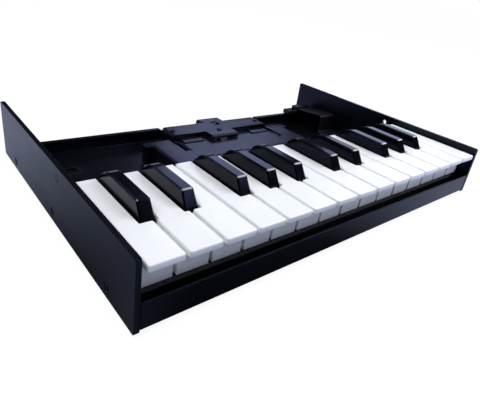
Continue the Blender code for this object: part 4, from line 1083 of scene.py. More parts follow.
def cross_recess(reach: float, depth: float, wing: float = 0.00042) -> list[bmesh.types.BMesh]:
    """Make the two tapered cutters of a cross recess from zero down.

    Args:
        reach: Half the length of the cross at the face.
        depth: Depth in the middle.
        wing: Half the width of a wing.

    Returns:
        Two crossing cutters.
    """
    over, waist = 0.0002, reach * 0.4
    outline = [(-reach, over), (-reach, 0), (-waist, -depth), (waist, -depth), (reach, 0),
               (reach, over)]
    return [prism(outline, "Y", -wing, wing), prism(outline, "X", -wing, wing)]


@dataclass
class BasePan:
    """Folded pan between the panels, on four rubber feet."""

    shop: Workshop
    panels: SidePanels
    recess: float = 0.0002
    front_height: float = 0.0152
    side_height: float = 0.010
    rear_return: float = 0.0052
    notch_left: float = -0.0396
    notch_right: float = 0.0699
    notch_depth: float = 0.0029
    foot_radius: float = 0.006
    foot_edge: float = 0.0002
    # The tread's dish and rim, as shares of the radius and heights.
    foot_tread: Sequence[Pair] = (
        (0.0, 0.0003), (0.32, 0.0003), (0.36, 0.0), (0.86, 0.0), (0.96, 0.0002), (1.0, 0.0007))
    foot_inset: Pair = (0.024, 0.018)
    pin_hole: float = 0.0013
    chassis_pins: Sequence[Pair] = ((0.1372, 0.024), (0.1372, 0.0935))
    platform_pins: Sequence[Pair] = ((0.0628, 0.108), (0.0628, 0.1368))

    def flat_panels(self) -> list[list[Point]]:
        """Return the pan's flat panels on its middle surface.

        Returns:
            Corners of each flat panel.
        """
        datum = self.shop.datum
        metal = datum.sheet
        half = datum.pan_half - metal.thickness / 2
        front = self.recess + metal.thickness / 2
        rear = datum.rear_wall - metal.thickness / 2
        low = datum.pan_bottom + metal.thickness / 2
        front_top = datum.pan_bottom + self.front_height
        side_top = datum.pan_bottom + self.side_height
        wall_top = datum.rear_wall_top - metal.thickness / 2
        notch_top = datum.rear_wall_top - self.notch_depth
        back = rear - self.rear_return + metal.thickness / 2
        edge = datum.pan_half
        at_front = metal.end_relief(half, edge, front, 1)
        at_rear = metal.end_relief(half, edge, rear, -1)
        right = [(x, y, low) for x, y in at_front[::-1] + at_rear]
        floor = right + [(-x, y, z) for x, y, z in reversed(right)]
        flange = [(-edge, front, low), (edge, front, low), (edge, front, front_top),
                  (-edge, front, front_top)]
        wall = [(-edge, rear, low), (edge, rear, low), (edge, rear, wall_top),
                (self.notch_right, rear, wall_top), (self.notch_right, rear, notch_top),
                (self.notch_left, rear, notch_top), (self.notch_left, rear, wall_top),
                (-edge, rear, wall_top)]
        near, far = at_front[0][1], at_rear[0][1]
        sides = mirrored([[(half, near, low), (half, far, low), (half, far, side_top),
                           (half, near, side_top)]])
        returns = []
        for notch, side in ((self.notch_left, 1), (self.notch_right, -1)):
            tab = notch + side * metal.thickness / 2
            relief = metal.end_relief(tab, notch, rear, -1, side)
            outline = [(-side * edge, rear), (-side * edge, back), (tab, back)] + relief
            returns.append([(x, y, wall_top) for x, y in outline])
            tab_low, tab_rear = low + metal.relief, relief[0][1]
            returns.append([(tab, back, wall_top), (tab, tab_rear, wall_top),
                            (tab, tab_rear, tab_low), (tab, back, tab_low)])
        return [floor, flange, wall] + sides + returns

    def foot(self) -> bmesh.types.BMesh:
        """Model a rubber foot that stands on zero, with a dished tread and a soft rim.

        Returns:
            A closed mesh.
        """
        radius, height = self.foot_radius, self.shop.datum.pan_bottom - SEAT
        tread = [(radius * share, z) for share, z in self.foot_tread]
        return turned([*tread, (radius, height - self.foot_edge),
                       (radius - self.foot_edge, height), (0, height)], 48)

    def build(self) -> None:
        """Build the pan and its feet."""
        datum = self.shop.datum
        pan = datum.sheet.fold(self.flat_panels())
        reach = datum.sheet.thickness * 2
        tools = [
            rod_x(self.panels.shank + SEAT, (side * datum.inner - reach, side * datum.inner + reach),
                  y, z, steps=20)
            for side in (-1, 1) for y, z in self.panels.screw_places()]
        for x, y in (*self.chassis_pins, *self.platform_pins):
            for side in (-1, 1):
                tools.append(rod_z(self.pin_hole, side * x, y, (0, datum.floor + reach)))
        self.shop.deliver("folded_pan", cut(pan, *tools), Finish.POWDER_COAT, "frame",
                          "base_pan", SHEET_EDGE_MM)
        inset_x, inset_y = self.foot_inset
        for row, y in (("front", inset_y), ("rear", datum.depth - inset_y - self.foot_radius)):
            for name, side in (("left", -1), ("right", 1)):
                at = (side * (datum.width / 2 - inset_x), y, 0)
                self.shop.deliver(f"{row}_{name}_rubber_pad", moved(self.foot(), at),
                                  Finish.RUBBER, "frame", f"foot_{row}_{name}")


@dataclass(frozen=True)
class KeySpot:
    """One key's place: its name, its middle and the part beside the black keys."""

    name: str
    is_black: bool
    centre: float
    left: float
    right: float


@dataclass
class Keys:
    """Two octaves of moulded keys with hinge tails."""

    shop: Workshop
    octaves: int = 2
    pitch: float = 0.020
    gap: float = 0.0020
    lip: float = 0.0035
    overhang: float = 0.010
    inset: float = 0.0001
    wall: float = 0.0016
    ceiling: float = 0.0024
    edge: float = 0.0008
    under_edge: float = 0.00032
    crown: float = 0.0008
    brow_forward: float = 0.3
    brow_upward: Pair = (0.7, 0.95)
    corner: float = 0.0012
    black_front: float = 0.0313
    black_slope: float = 0.005
    black_rise: float = 0.0086
    black_width: float = 0.0082
    black_top_width: float = 0.0072
    nose_length: float = 0.0164
    nose_drop: float = 0.0123
    notch_gap: float = 0.0009
    notch_front_gap: float = 0.0014
    rod: float = 0.0013
    tail_width: float = 0.005
    tail_back: float = 0.0055
    tail_half: float = 0.0028
    actuator: Pair = (0.045, 0.051)
    shifts: dict[str, float] = field(default_factory=lambda: {
        "c": -0.0029, "d": 0.0014, "f": -0.0031, "g": -0.0008, "a": 0.0021})

    @property
    def nose_start(self) -> float:
        """Where the flat top of a black key ends."""
        return self.shop.datum.key_length - self.inset - self.nose_length

    def spots(self) -> list[KeySpot]:
        """Return the keys from left to right.

        Returns:
            White and black keys, in the order of the scale.
        """
        notes = "cdefgab"
        count = self.octaves * len(notes) + 1
        start = -count * self.pitch / 2
        blacks = {
            index: start + (index + 1) * self.pitch + self.shifts[notes[index % len(notes)]]
            for index in range(count - 1) if notes[index % len(notes)] in self.shifts}
        half = self.black_width / 2
        spots = []
        for index in range(count):
            note = notes[index % len(notes)]
            octave = index // len(notes) + 1
            low = start + index * self.pitch
            left, right = low + self.gap / 2, low + self.pitch - self.gap / 2
            if index - 1 in blacks:
                left = blacks[index - 1] + half + self.notch_gap
            if index in blacks:
                right = blacks[index] - half - self.notch_gap
            spots.append(KeySpot(f"white_key_{note}{octave}", False, low + self.pitch / 2,
                                 left, right))
            if index in blacks:
                x = blacks[index]
                spots.append(KeySpot(f"black_key_{note}s{octave}", True, x, x - half, x + half))
        return spots

    def tail(self, x: float, rear: float) -> bmesh.types.BMesh:
        """Model the tongue that reaches from a key's rear wall to the rod.

        Args:
            x: Middle of the tongue.
            rear: Outer face of the rear wall.

        Returns:
            A closed mesh.
        """
        datum = self.shop.datum
        pivot_y, pivot_z = datum.pivot
        low, top = pivot_z - self.tail_half, pivot_z + self.tail_half
        root, knee = rear - self.wall, datum.skirt_bottom + self.tail_half * 2
        outline = [(root, low), (pivot_y + self.tail_back, low), (pivot_y + self.tail_back, top),
                   (pivot_y, top), (rear, knee), (root, knee)]
        return prism(outline, "X", x - self.tail_width / 2, x + self.tail_width / 2)

    def bore(self, x: float) -> bmesh.types.BMesh:
        """Make the cutter of the hole that the rod passes through.

        Args:
            x: Middle of the tail.

        Returns:
            The cutter.
        """
        pivot_y, pivot_z = self.shop.datum.pivot
        span = (x - self.tail_width, x + self.tail_width)
        return rod_x(self.rod + SEAT, span, pivot_y, pivot_z, steps=24)

    def outline(self, spot: KeySpot, inset: float, front: float, rear: float,
                corner: float = 0.0) -> list[Pair]:
        """Return a white key's outline from above, drawn in by an inset.

        Args:
            spot: The key's place.
            inset: How far it is drawn in.
            front: Y of its front.
            rear: Y of its rear.
            corner: Radius of its corners.

        Returns:
            Outline points.
        """
        half = (self.pitch - self.gap) / 2
        left, right = spot.centre - half + inset, spot.centre + half - inset
        neck_left, neck_right = spot.left + inset, spot.right - inset
        notch = self.black_front - self.notch_front_gap - inset
        tight = corner * 0.3
        corners = [(left, front), (right, front)]
        radii = [corner, corner]
        if neck_right < right - TOUCH:
            corners += [(right, notch), (neck_right, notch)]
            radii += [corner, tight]
        corners += [(neck_right, rear), (neck_left, rear)]
        radii += [0.0, 0.0]
        if neck_left > left + TOUCH:
            corners += [(neck_left, notch), (left, notch)]
            radii += [tight, corner]
        return rounded_outline(corners, radii, 5) if corner else corners

    def white(self, spot: KeySpot) -> bmesh.types.BMesh:
        """Model a white key: a lipped top with soft edges on a hollow skirt.

        Args:
            spot: The key's place.

        Returns:
            A closed mesh.
        """
        datum = self.shop.datum
        top, rear = datum.key_top, datum.key_length - self.inset
        plate = prism(self.outline(spot, 0, 0, datum.key_length, self.corner), "Z",
                      top - self.lip, top)
        rim = [e for e in plate.edges if all(v.co.z > top - TOUCH for v in e.verts)]
        bmesh.ops.bevel(plate, geom=rim, offset=self.edge, segments=5, profile=0.5,
                        affect="EDGES", material=-1)
        under = [e for e in plate.edges
                 if all(v.co.z < top - self.lip + TOUCH and v.co.y < self.corner * 2
                        for v in e.verts)]
        bmesh.ops.bevel(plate, geom=under, offset=self.under_edge, segments=3, profile=0.5,
                        affect="EDGES", material=-1)
        skirt = prism(self.outline(spot, self.inset, self.overhang, rear), "Z",
                      datum.skirt_bottom, top - self.lip / 2)
        half = (self.pitch - self.gap) / 2
        wall = self.inset + self.wall
        height = (datum.skirt_bottom - self.wall, top - self.ceiling)
        neck = (spot.left + wall, spot.right - wall)
        hollows = [
            block((spot.centre - half + wall, spot.centre + half - wall),
                  (self.overhang + self.wall, self.black_front - self.notch_front_gap - wall),
                  height),
            block(neck, (self.black_front + self.wall, self.actuator[0]), height),
            block(neck, (self.actuator[1], rear - self.wall * 2), height)]
        tail_x = (spot.left + spot.right) / 2
        body = cut(join(plate, skirt), *hollows)
        return cut(join(body, self.tail(tail_x, rear)), self.bore(tail_x))

    def black(self, centre: float) -> bmesh.types.BMesh:
        """Model a black key: a sloped front, a satin top and a nose that falls away.

        Args:
            centre: Middle of the key.

        Returns:
            A closed mesh.
        """
        datum = self.shop.datum
        top = datum.key_top + self.black_rise
        steps = 18
        nose = []
        for step in range(steps + 1):
            angle = step / steps * math.pi / 2
            nose.append((self.nose_start + self.nose_length * math.sin(angle),
                         top - self.nose_drop * (1 - math.cos(angle))))
        rear = nose[-1][0]
        outline = [(self.black_front, datum.skirt_bottom), (self.black_front, datum.key_top),
                   (self.black_front + self.black_slope, top), *nose,
                   (rear, datum.skirt_bottom)]
        half = self.black_width / 2
        body = prism(outline, "X", -half, half)
        taper = (self.black_width - self.black_top_width) / self.black_width
        for vert in body.verts:
            vert.co.x *= 1 - taper * max(0.0, vert.co.z - datum.key_top) / self.black_rise
        crown = [
            e for e in body.edges
            if all(v.co.z > datum.key_top + SEAT for v in e.verts)
            and abs(e.verts[0].co.y - e.verts[1].co.y) > TOUCH
            and abs(e.verts[0].co.x - e.verts[1].co.x) < half]
        brow_y = self.black_front + self.black_slope
        brow = [e for e in body.edges if all(abs(v.co.y - brow_y) < TOUCH for v in e.verts)]
        cheeks = [
            e for e in body.edges
            if min(v.co.y for v in e.verts) < self.black_front + TOUCH
            and abs(e.verts[0].co.x - e.verts[1].co.x) < half
            and max(v.co.z for v in e.verts) > datum.key_top + SEAT]
        bmesh.ops.bevel(body, geom=list(dict.fromkeys(crown + brow + cheeks)), offset=self.crown,
                        segments=1, profile=0.5, affect="EDGES", material=-1)
        moved(body, (centre, 0, 0))
        inside = (centre - half + self.wall, centre + half - self.wall)
        height = (datum.skirt_bottom - self.wall, datum.key_top)
        body = cut(
            body, block(inside, (self.black_front + self.wall, self.actuator[0]), height),
            block(inside, (self.actuator[1], rear - self.wall * 2), height))
        return cut(join(body, self.tail(centre, rear)), self.bore(centre))

    def paint_brow_highlight(self, bm: bmesh.types.BMesh) -> None:
        """Mark the chamfer between front and top for a lighter, glossier copy: a painted highlight.

        Args:
            bm: The key, whose chamfer gets material index one.
        """
        bm.normal_update()
        low, high = self.brow_upward
        for face in bm.faces:
            if face.normal.y < -self.brow_forward and low < face.normal.z < high:
                face.material_index = 1

    def build(self) -> None:
        """Build every key. Keys of one shape are moulded once and copied along."""
        shapes: dict[tuple, tuple[float, bpy.types.Mesh]] = {}
        for spot in self.spots():
            sides = (round(spot.left - spot.centre, 6), round(spot.right - spot.centre, 6))
            shape = (spot.is_black, *sides)
            if shape not in shapes:
                bm = self.black(spot.centre) if spot.is_black else self.white(spot)
                mesh = bpy.data.meshes.new("moulding")
                bm.to_mesh(mesh)
                bm.free()
                shapes[shape] = (spot.centre, mesh)
            origin, mesh = shapes[shape]
            copy = bmesh.new()
            copy.from_mesh(mesh)
            moved(copy, (spot.centre - origin, 0, 0))
            finish, second = Finish.WHITE_ABS, None
            if spot.is_black:
                # The brow chamfer gets the lighter, glossier copy that paints its highlight.
                finish, second = Finish.BLACK_ABS, Finish.BROW_HIGHLIGHT_ABS
                self.paint_brow_highlight(copy)
            self.shop.deliver(spot.name.replace("_key_", "_cap_"), copy, finish, spot.name,
                              spot.name, FINE_EDGE_MM, second=second)
        for _, mesh in shapes.values():
            bpy.data.meshes.remove(mesh)


@dataclass
class KeyWorks:
    """Hidden works under the keys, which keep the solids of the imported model."""

    shop: Workshop

    def build(self) -> None:
        """Dress the chassis, rod, comb, board, domes and felts."""
        for node, finish in (
                ("key_chassis", Finish.GREY_NYLON), ("key_pivot_rod", Finish.STEEL),
                ("key_spring_comb", Finish.STEEL), ("contact_board", Finish.BOARD),
                ("contact_strip", Finish.RUBBER), ("down_stop_felt", Finish.FELT),
                ("rest_felt", Finish.FELT)):
            self.shop.dress(node, finish)


@dataclass(frozen=True)
class Hinge:
    """Rolled hinge between the platform and the tilting plate."""

    y: float = 0.112
    gap: float = 0.0007
    radius: float = 0.0017
    width: float = 0.012
    web_inset: float = 0.0002
    pin: float = 0.0009

    def z(self, datum: Datum) -> float:
        """Return the height of the pin."""
        return datum.platform_top - datum.sheet.thickness - SEAT - self.radius

    def knuckle(self, datum: Datum, centre: float, side: int) -> bmesh.types.BMesh:
        """Model one knuckle with the web that ties it to the sheet on one side of the pin.

        Args:
            datum: Shared sizes.
            centre: Middle of the knuckle along X.
            side: Sign of Y from the pin to the sheet.

        Returns:
            A closed mesh.
        """
        near = self.gap + self.web_inset
        top = datum.platform_top - datum.sheet.thickness / 2
        outline = [(self.y + side * near, top), (self.y + side * self.radius, top)]
        sweep = math.tau - math.acos(near / self.radius)
        steps = 22
        for step in range(steps + 1):
            angle = sweep * step / steps
            outline.append((self.y + side * self.radius * math.cos(angle),
                            self.z(datum) - self.radius * math.sin(angle)))
        return prism(outline, "X", centre - self.width / 2, centre + self.width / 2)

    def bore(self, datum: Datum, half: float) -> bmesh.types.BMesh:
        """Make the cutter of the pin's hole."""
        return rod_x(self.pin + SEAT, (-half, half), self.y, self.z(datum))

    def centres(self, turning: bool) -> list[float]:
        """Return the middles of the knuckles of the plate that turns, or of the fixed one."""
        step = self.width + PLAY
        return [-step, step] if turning else [-step * 2, 0, step * 2]


def formed_head(x: float, y: float, root: float, seat: float,
                radius: float = 0.0021) -> bmesh.types.BMesh:
    """Model a pin whose end is formed into a low domed head against its seat.

    Args:
        x: Place across.
        y: Place back from the front edge.
        root: Where the pin starts.
        seat: Where the head bears.
        radius: Radius of the head.

    Returns:
        A closed mesh.
    """
    side = 1 if seat > root else -1
    shank, height, fullness, steps = 0.001, 0.0009, 0.6, 6
    profile = [(0, root), (shank, root), (shank, seat), (radius, seat)]
    for step in range(1, steps + 1):
        angle = math.pi / 2 * step / steps
        profile.append((radius * math.cos(angle) ** fullness if step < steps else 0.0,
                        seat + side * height * math.sin(angle)))
    return moved(turned(profile, 24), (x, y, 0))


@dataclass
class Platform:
    """Fixed platform behind the keys, riveted to the pan, with the hinge pin."""

    shop: Workshop
    pan: BasePan
    hinge: Hinge
    half: float = 0.0685
    rear: float = 0.151
    foot: float = 0.009
    ear_width: float = 0.0055
    ear_depth: float = 0.0052
    slot_width: float = 0.0045
    slot_front: float = 0.127
    arm_slot_x: float = 0.0561
    arm_slot_width: float = 0.0016
    arm_slot_length: float = 0.0055
    tilt_half: float = 0.0465

    def flat_panels(self) -> list[list[Point]]:
        """Return the platform's flat panels on its middle surface.

        Returns:
            Corners of each flat panel.
        """
        datum = self.shop.datum
        metal = datum.sheet
        top = datum.platform_top - metal.thickness / 2
        half = self.half - metal.thickness / 2
        foot_z = datum.floor + SEAT + metal.thickness / 2
        arm, near = self.tilt_half + self.slot_width, self.tilt_half + PLAY
        edge = self.hinge.y - self.hinge.gap
        ear, ear_front = half + self.ear_width, self.rear - self.ear_depth
        fold_end = ear_front - metal.relief_width
        root = half - metal.relief
        front = datum.platform_front
        right = [
            (half, front, top), (half, fold_end, top), (root, fold_end, top),
            (root, ear_front, top), (ear, ear_front, top), (ear, self.rear, top),
            (arm, self.rear, top), (arm, self.slot_front, top), (near, self.slot_front, top),
            (near, edge, top)]
        plate = right + [(-x, y, z) for x, y, z in reversed(right)]
        inward = half - self.foot
        return [plate] + mirrored([
            [(half, front, top), (half, fold_end, top), (half, fold_end, foot_z),
             (half, front, foot_z)],
            [(half, front, foot_z), (half, fold_end, foot_z), (inward, fold_end, foot_z),
             (inward, front, foot_z)],
            [(ear, ear_front, top), (ear, self.rear, top), (ear, self.rear, foot_z),
             (ear, ear_front, foot_z)],
            [(root, ear_front, top), (ear, ear_front, top), (ear, ear_front, foot_z),
             (root, ear_front, foot_z)]])

    def build(self) -> None:
        """Build the platform with its rivets, and the pin."""
        datum = self.shop.datum
        thickness = datum.sheet.thickness
        body = datum.sheet.fold(self.flat_panels())
        body = join(body, *[self.hinge.knuckle(datum, x, -1) for x in self.hinge.centres(False)])
        foot_z = datum.floor + SEAT + thickness / 2
        body = join(body, *[formed_head(side * x, y, foot_z, datum.pan_bottom - SEAT)
                            for x, y in self.pan.platform_pins for side in (-1, 1)])
        slot = block(
            (self.arm_slot_x - self.arm_slot_width / 2, self.arm_slot_x + self.arm_slot_width / 2),
            (self.rear - self.arm_slot_length, self.rear + thickness),
            (datum.platform_top - thickness * 2, datum.platform_top + thickness))
        body = cut(body, self.hinge.bore(datum, self.tilt_half), slot)
        self.shop.deliver("riveted_platform", body, Finish.POWDER_COAT, "frame",
                          "platform_bracket", SHEET_EDGE_MM)
        # Half of the five knuckles and their gaps, and a little over.
        reach = self.hinge.width * 2.5 + PLAY * 3
        pin = rod_x(self.hinge.pin, (-reach, reach), self.hinge.y, self.hinge.z(datum),
                    PIN_BREAK)
        self.shop.deliver("tilt_pin", pin, Finish.STEEL, "frame", "tilt_hinge_pin")


@dataclass
class Dock:
    """Tilting plate, prop flaps, dock bracket with its screws, and the latch."""

    shop: Workshop
    platform: Platform
    rear: float = 0.164
    flange: float = 0.0042
    flap_width: float = 0.0177
    flap_length: float = 0.0086
    flap_inner: float = 0.0256
    flap_y: float = 0.1485
    flap_proud: float = 0.0010
    flap_lip: float = 0.0016
    flap_pin: float = 0.0008
    flap_eye: float = 0.0016
    flap_edge: float = 0.0002
    flap_inside: float = 0.0003
    flap_nose: float = 0.001
    half: float = 0.048
    front: float = 0.149
    bracket_rear: float = 0.1675
    tongue: Pair = (-0.018, 0.0082)
    tongue_front: float = 0.138
    tab_x: float = 0.002
    tab_half: float = 0.012
    tab_rear: float = 0.176
    tab_skirt: float = 0.0045
    hook_y: float = 0.1635
    hook_size: Pair = (0.0065, 0.008)
    hook_corner: float = 0.0004
    spacer: float = 0.0025
    screws: Sequence[tuple[str, float, float]] = (
        ("left", -0.0438, 0.1585), ("right", 0.0438, 0.1585), ("centre", -0.004, 0.1491))
    screw_head: float = 0.0021
    screw_height: float = 0.0009
    screw_shank: float = 0.001
    screw_side_share: float = 0.35
    screw_dome: float = 0.0006
    screw_recess: tuple[float, float, float] = (0.0012, 0.0007, 0.00026)
    latch_travel: float = 0.0039
    latch_tip: Pair = (-0.0117, 0.0066)
    latch_proud: float = 0.002
    latch_span: Pair = (-0.016, 0.005)
    latch_depth: float = 0.0125
    latch_corner: float = 0.0004
    latch_root: float = 0.0002
    latch_nose: float = 0.0005

    def hole(self, x: float, y: float, low: float, high: float) -> bmesh.types.BMesh:
        """Make the cutter of a small screw's hole."""
        return rod_z(self.screw_shank + SEAT, x, y, (low, high))

    def flap_z(self) -> float:
        """Return the height of the flaps' pin."""
        datum = self.shop.datum
        return datum.platform_top - datum.sheet.thickness - SEAT - self.flap_pin

    def plate(self) -> bmesh.types.BMesh:
        """Model the tilting plate with its windows, spacers and knuckles.

        Returns:
            A closed mesh.
        """
        datum, hinge = self.shop.datum, self.platform.hinge
        metal = datum.sheet
        top = datum.platform_top - metal.thickness / 2
        outer = self.platform.tilt_half
        half = outer - metal.thickness / 2
        front, low = hinge.y + hinge.gap, datum.platform_top - self.flange
        relief = metal.end_relief(half, outer, self.platform.slot_front - metal.relief, 1)
        tab = self.tab_half - metal.thickness * 2
        tab_rear = self.tab_rear - metal.thickness
        right = [(outer, front)] + relief[:0:-1][1:] + [(half, relief[0][1]), (half, self.rear)]
        plate = [(x, y, top) for x, y in right]
        plate += [(self.tab_x + tab, self.rear, top), (self.tab_x + tab, tab_rear, top),
                  (self.tab_x - tab, tab_rear, top), (self.tab_x - tab, self.rear, top)]
        plate += [(-x, y, top) for x, y in reversed(right)]
        side = [[(half, relief[0][1], top), (half, self.rear, top), (half, self.rear, low),
                 (half, relief[0][1], low)]]
        body = metal.fold([plate] + mirrored(side))
        spacer_top = datum.dock_top - metal.thickness - SEAT
        body = join(body, *[hinge.knuckle(datum, x, 1) for x in hinge.centres(True)],
                    *[rod_z(self.spacer, x, y, (top, spacer_top)) for _, x, y in self.screws])
        tools = [hinge.bore(datum, outer),
                 rod_x(self.flap_pin + SEAT, (-self.half, self.half), self.flap_y, self.flap_z())]
        for sign in (-1, 1):
            across = tuple(sorted((sign * (self.flap_inner - PLAY),
                                   sign * (self.flap_inner + self.flap_width + PLAY))))
            tools.append(block(
                across, (self.flap_y - self.flap_length - PLAY * 2,
                         self.flap_y + self.flap_eye + PLAY),
                (low + metal.thickness, datum.platform_top + metal.thickness)))
        tools += [self.hole(x, y, low, datum.dock_top) for _, x, y in self.screws]
        return cut(body, *tools)

    def flap(self, sign: int) -> bmesh.types.BMesh:
        """Model one prop flap: a rolled eye, a flat leaf and a turned-down lip.

        Args:
            sign: Sign of X: -1 is left and 1 is right.

        Returns:
            A closed mesh.
        """
        datum = self.shop.datum
        thickness = datum.sheet.thickness
        top, z = datum.platform_top + self.flap_proud, self.flap_z()
        front, back = self.flap_y - self.flap_length, self.flap_y - self.flap_eye
        low, high = sorted((sign * self.flap_inner, sign * (self.flap_inner + self.flap_width)))
        outline = rounded_outline(
            [(front, top - thickness - self.flap_lip),
             (front + thickness, top - thickness - self.flap_lip),
             (front + thickness, top - thickness), (back, top - thickness), (back, z),
             (self.flap_y, z), (self.flap_y, top), (front, top)],
            [self.flap_edge, self.flap_edge, self.flap_inside, 0, 0, 0, 0, self.flap_nose], 6)
        leaf = join(prism(outline, "X", low, high),
                    rod_x(self.flap_eye, (low, high), self.flap_y, z))
        return cut(leaf, rod_x(self.flap_pin + SEAT, (low - thickness, high + thickness),
                               self.flap_y, z))

    def bracket(self) -> bmesh.types.BMesh:
        """Model the folded dock bracket with its tongue, rear tab and hook hole.

        Returns:
            A closed mesh.
        """
        datum = self.shop.datum
        metal = datum.sheet
        thickness, r = metal.thickness, metal.relief
        top, half = datum.dock_top - thickness / 2, self.half - thickness / 2
        foot, tongue_low = datum.floor + SEAT, datum.platform_top + SEAT
        left, right = self.tongue
        tab_left = self.tab_x - self.tab_half + thickness / 2
        tab_right = self.tab_x + self.tab_half - thickness / 2
        nose, rear = self.tongue_front + thickness / 2, self.bracket_rear
        plate = [
            (left, nose), (right, nose), (right, self.front), (half, self.front), (half, rear),
            (tab_right - r, rear), (tab_right - r, rear + r), (tab_right, rear + r),
            (tab_right, self.tab_rear), (tab_left, self.tab_rear), (tab_left, rear + r),
            (tab_left + r, rear + r), (tab_left + r, rear), (-half, rear), (-half, self.front),
            (left, self.front)]
        panels = [[(x, y, top) for x, y in plate]] + mirrored([[
            (half, self.front, top), (half, rear, top), (half, rear, foot),
            (half, self.front, foot)]])
        panels.append([(left, nose, top), (right, nose, top), (right, nose, tongue_low),
                       (left, nose, tongue_low)])
        tab_low = datum.dock_top - self.tab_skirt
        for x in (tab_left, tab_right):
            panels.append([(x, rear + r, top), (x, self.tab_rear, top),
                           (x, self.tab_rear, tab_low), (x, rear + r, tab_low)])
        latch_top = datum.platform_top + SEAT + thickness
        tip, width = self.latch_tip
        hook_half, hook_length = self.hook_size[0] / 2, self.hook_size[1] / 2
        hook = rounded_outline(
            [(self.tab_x - hook_half, self.hook_y - hook_length),
             (self.tab_x + hook_half, self.hook_y - hook_length),
             (self.tab_x + hook_half, self.hook_y + hook_length),
             (self.tab_x - hook_half, self.hook_y + hook_length)], [self.hook_corner] * 4)
        tools = [
            block((tip - self.latch_travel - PLAY, tip + width + SEAT),
                  (self.tongue_front - thickness, self.tongue_front + thickness * 2),
                  (tongue_low - thickness, latch_top + PLAY)),
            prism(hook, "Z", tab_low, datum.dock_top + thickness)]
        tools += [self.hole(x, y, datum.dock_top - thickness * 2, datum.dock_top + thickness)
                  for _, x, y in self.screws]
        return cut(metal.fold(panels), *tools)

    def screw(self) -> bmesh.types.BMesh:
        """Model a pan head screw with a cross recess, its head's seat at zero.

        Returns:
            A closed mesh.
        """
        radius, height, shank = self.screw_head, self.screw_height, self.screw_shank
        end = -self.shop.datum.dock_rise - SEAT
        side, steps = height * self.screw_side_share, 5
        profile = [(0, end), (shank, end), (shank, 0), (radius, 0), (radius, side)]
        for step in range(1, steps + 1):
            angle = math.pi / 2 * step / steps
            profile.append((radius - (1 - math.cos(angle)) * self.screw_dome,
                            side + math.sin(angle) * (height - side)))
        profile.append((0, height))
        recess = [moved(cutter, (0, 0, height)) for cutter in cross_recess(*self.screw_recess)]
        return cut(turned(profile, 36), *recess)

    def latch(self) -> bmesh.types.BMesh:
        """Model the sliding latch: a blanked plate with a slot and a thumb tip.

        Returns:
            A closed mesh.
        """
        datum = self.shop.datum
        thickness = datum.sheet.thickness
        low = datum.platform_top + SEAT
        front = self.tongue_front + thickness + PLAY
        tip, width = self.latch_tip
        nose = self.tongue_front - self.latch_proud
        left, right = self.latch_span
        corner, root, round_nose = self.latch_corner, self.latch_root, self.latch_nose
        outline = rounded_outline(
            [(left, front), (tip, front), (tip, nose), (tip + width, nose), (tip + width, front),
             (right, front), (right, front + self.latch_depth), (left, front + self.latch_depth)],
            [corner, root, round_nose, round_nose, root, corner, corner, corner])
        reach = self.spacer + SEAT
        _, x, y = self.screws[2]
        slot = block((x - reach, x + reach + self.latch_travel), (y - reach, y + reach),
                     (low - thickness, low + thickness * 2))
        return cut(prism(outline, "Z", low, low + thickness), slot)

    def build(self) -> None:
        """Build the tilting group."""
        shop, datum = self.shop, self.shop.datum
        shop.deliver("tilting_plate", self.plate(), Finish.POWDER_COAT, "tilt", "tilt_plate",
                     SHEET_EDGE_MM)
        for name, sign in (("left", -1), ("right", 1)):
            shop.deliver(f"{name}_prop_leaf", self.flap(sign), Finish.POWDER_COAT,
                         f"{name}_flap", f"{name}_prop_flap", SHEET_EDGE_MM)
        end = self.half - datum.sheet.thickness - SEAT
        pin = rod_x(self.flap_pin, (-end, end), self.flap_y, self.flap_z(), PIN_BREAK)
        shop.deliver("flap_rod", pin, Finish.STEEL, "tilt", "flap_pin")
        shop.deliver("folded_dock_bracket", self.bracket(), Finish.POWDER_COAT, "tilt",
                     "dock_bracket", SHEET_EDGE_MM)
        for name, x, y in self.screws:
            screw = moved(self.screw(), (x, y, datum.dock_top + SEAT))
            shop.deliver(f"{name}_pan_head_screw", screw, Finish.ZINC, "tilt",
                         f"dock_screw_{name}")
        shop.deliver("sliding_latch", self.latch(), Finish.STEEL, "latch", "dock_latch",
                     FINE_EDGE_MM)


@dataclass
class GuideBlock:
    """Small dished nylon block whose peg fills the left panel's hole."""

    shop: Workshop
    panels: SidePanels
    width: float = 0.0092
    depth: float = 0.0084
    height: float = 0.0062
    rim: float = 0.0011
    pocket: float = 0.0014
    pocket_corner: float = 0.0008
    heel: float = 0.0003
    edge_mm: float = 0.15

    def build(self) -> None:
        """Build the block."""
        datum = self.shop.datum
        y, z = self.panels.hole_place()
        left = -datum.inner + SEAT
        right = left + self.width
        front, back = y - self.depth / 2, y + self.depth / 2
        high = z + self.height / 2
        outline = rounded_outline([(left, front), (right, front), (right, back), (left, back)],
                                  [self.heel, self.rim, self.rim, self.heel])
        body = prism(outline, "Z", z - self.height / 2, high)
        dish = rounded_outline(
            [(left + self.rim, front + self.rim), (right - self.rim, front + self.rim),
             (right - self.rim, back - self.rim), (left + self.rim, back - self.rim)],
            [self.pocket_corner] * 4)
        body = cut(body, prism(dish, "Z", high - self.pocket, high + SEAT))
        peg = rod_x(self.panels.hole - SEAT, (-datum.width / 2, left + self.rim), y, z,
                    PIN_BREAK, 36)
        self.shop.deliver("dished_guide_block", join(body, peg), Finish.GREY_NYLON, "frame",
                          "left_guide_block", self.edge_mm)


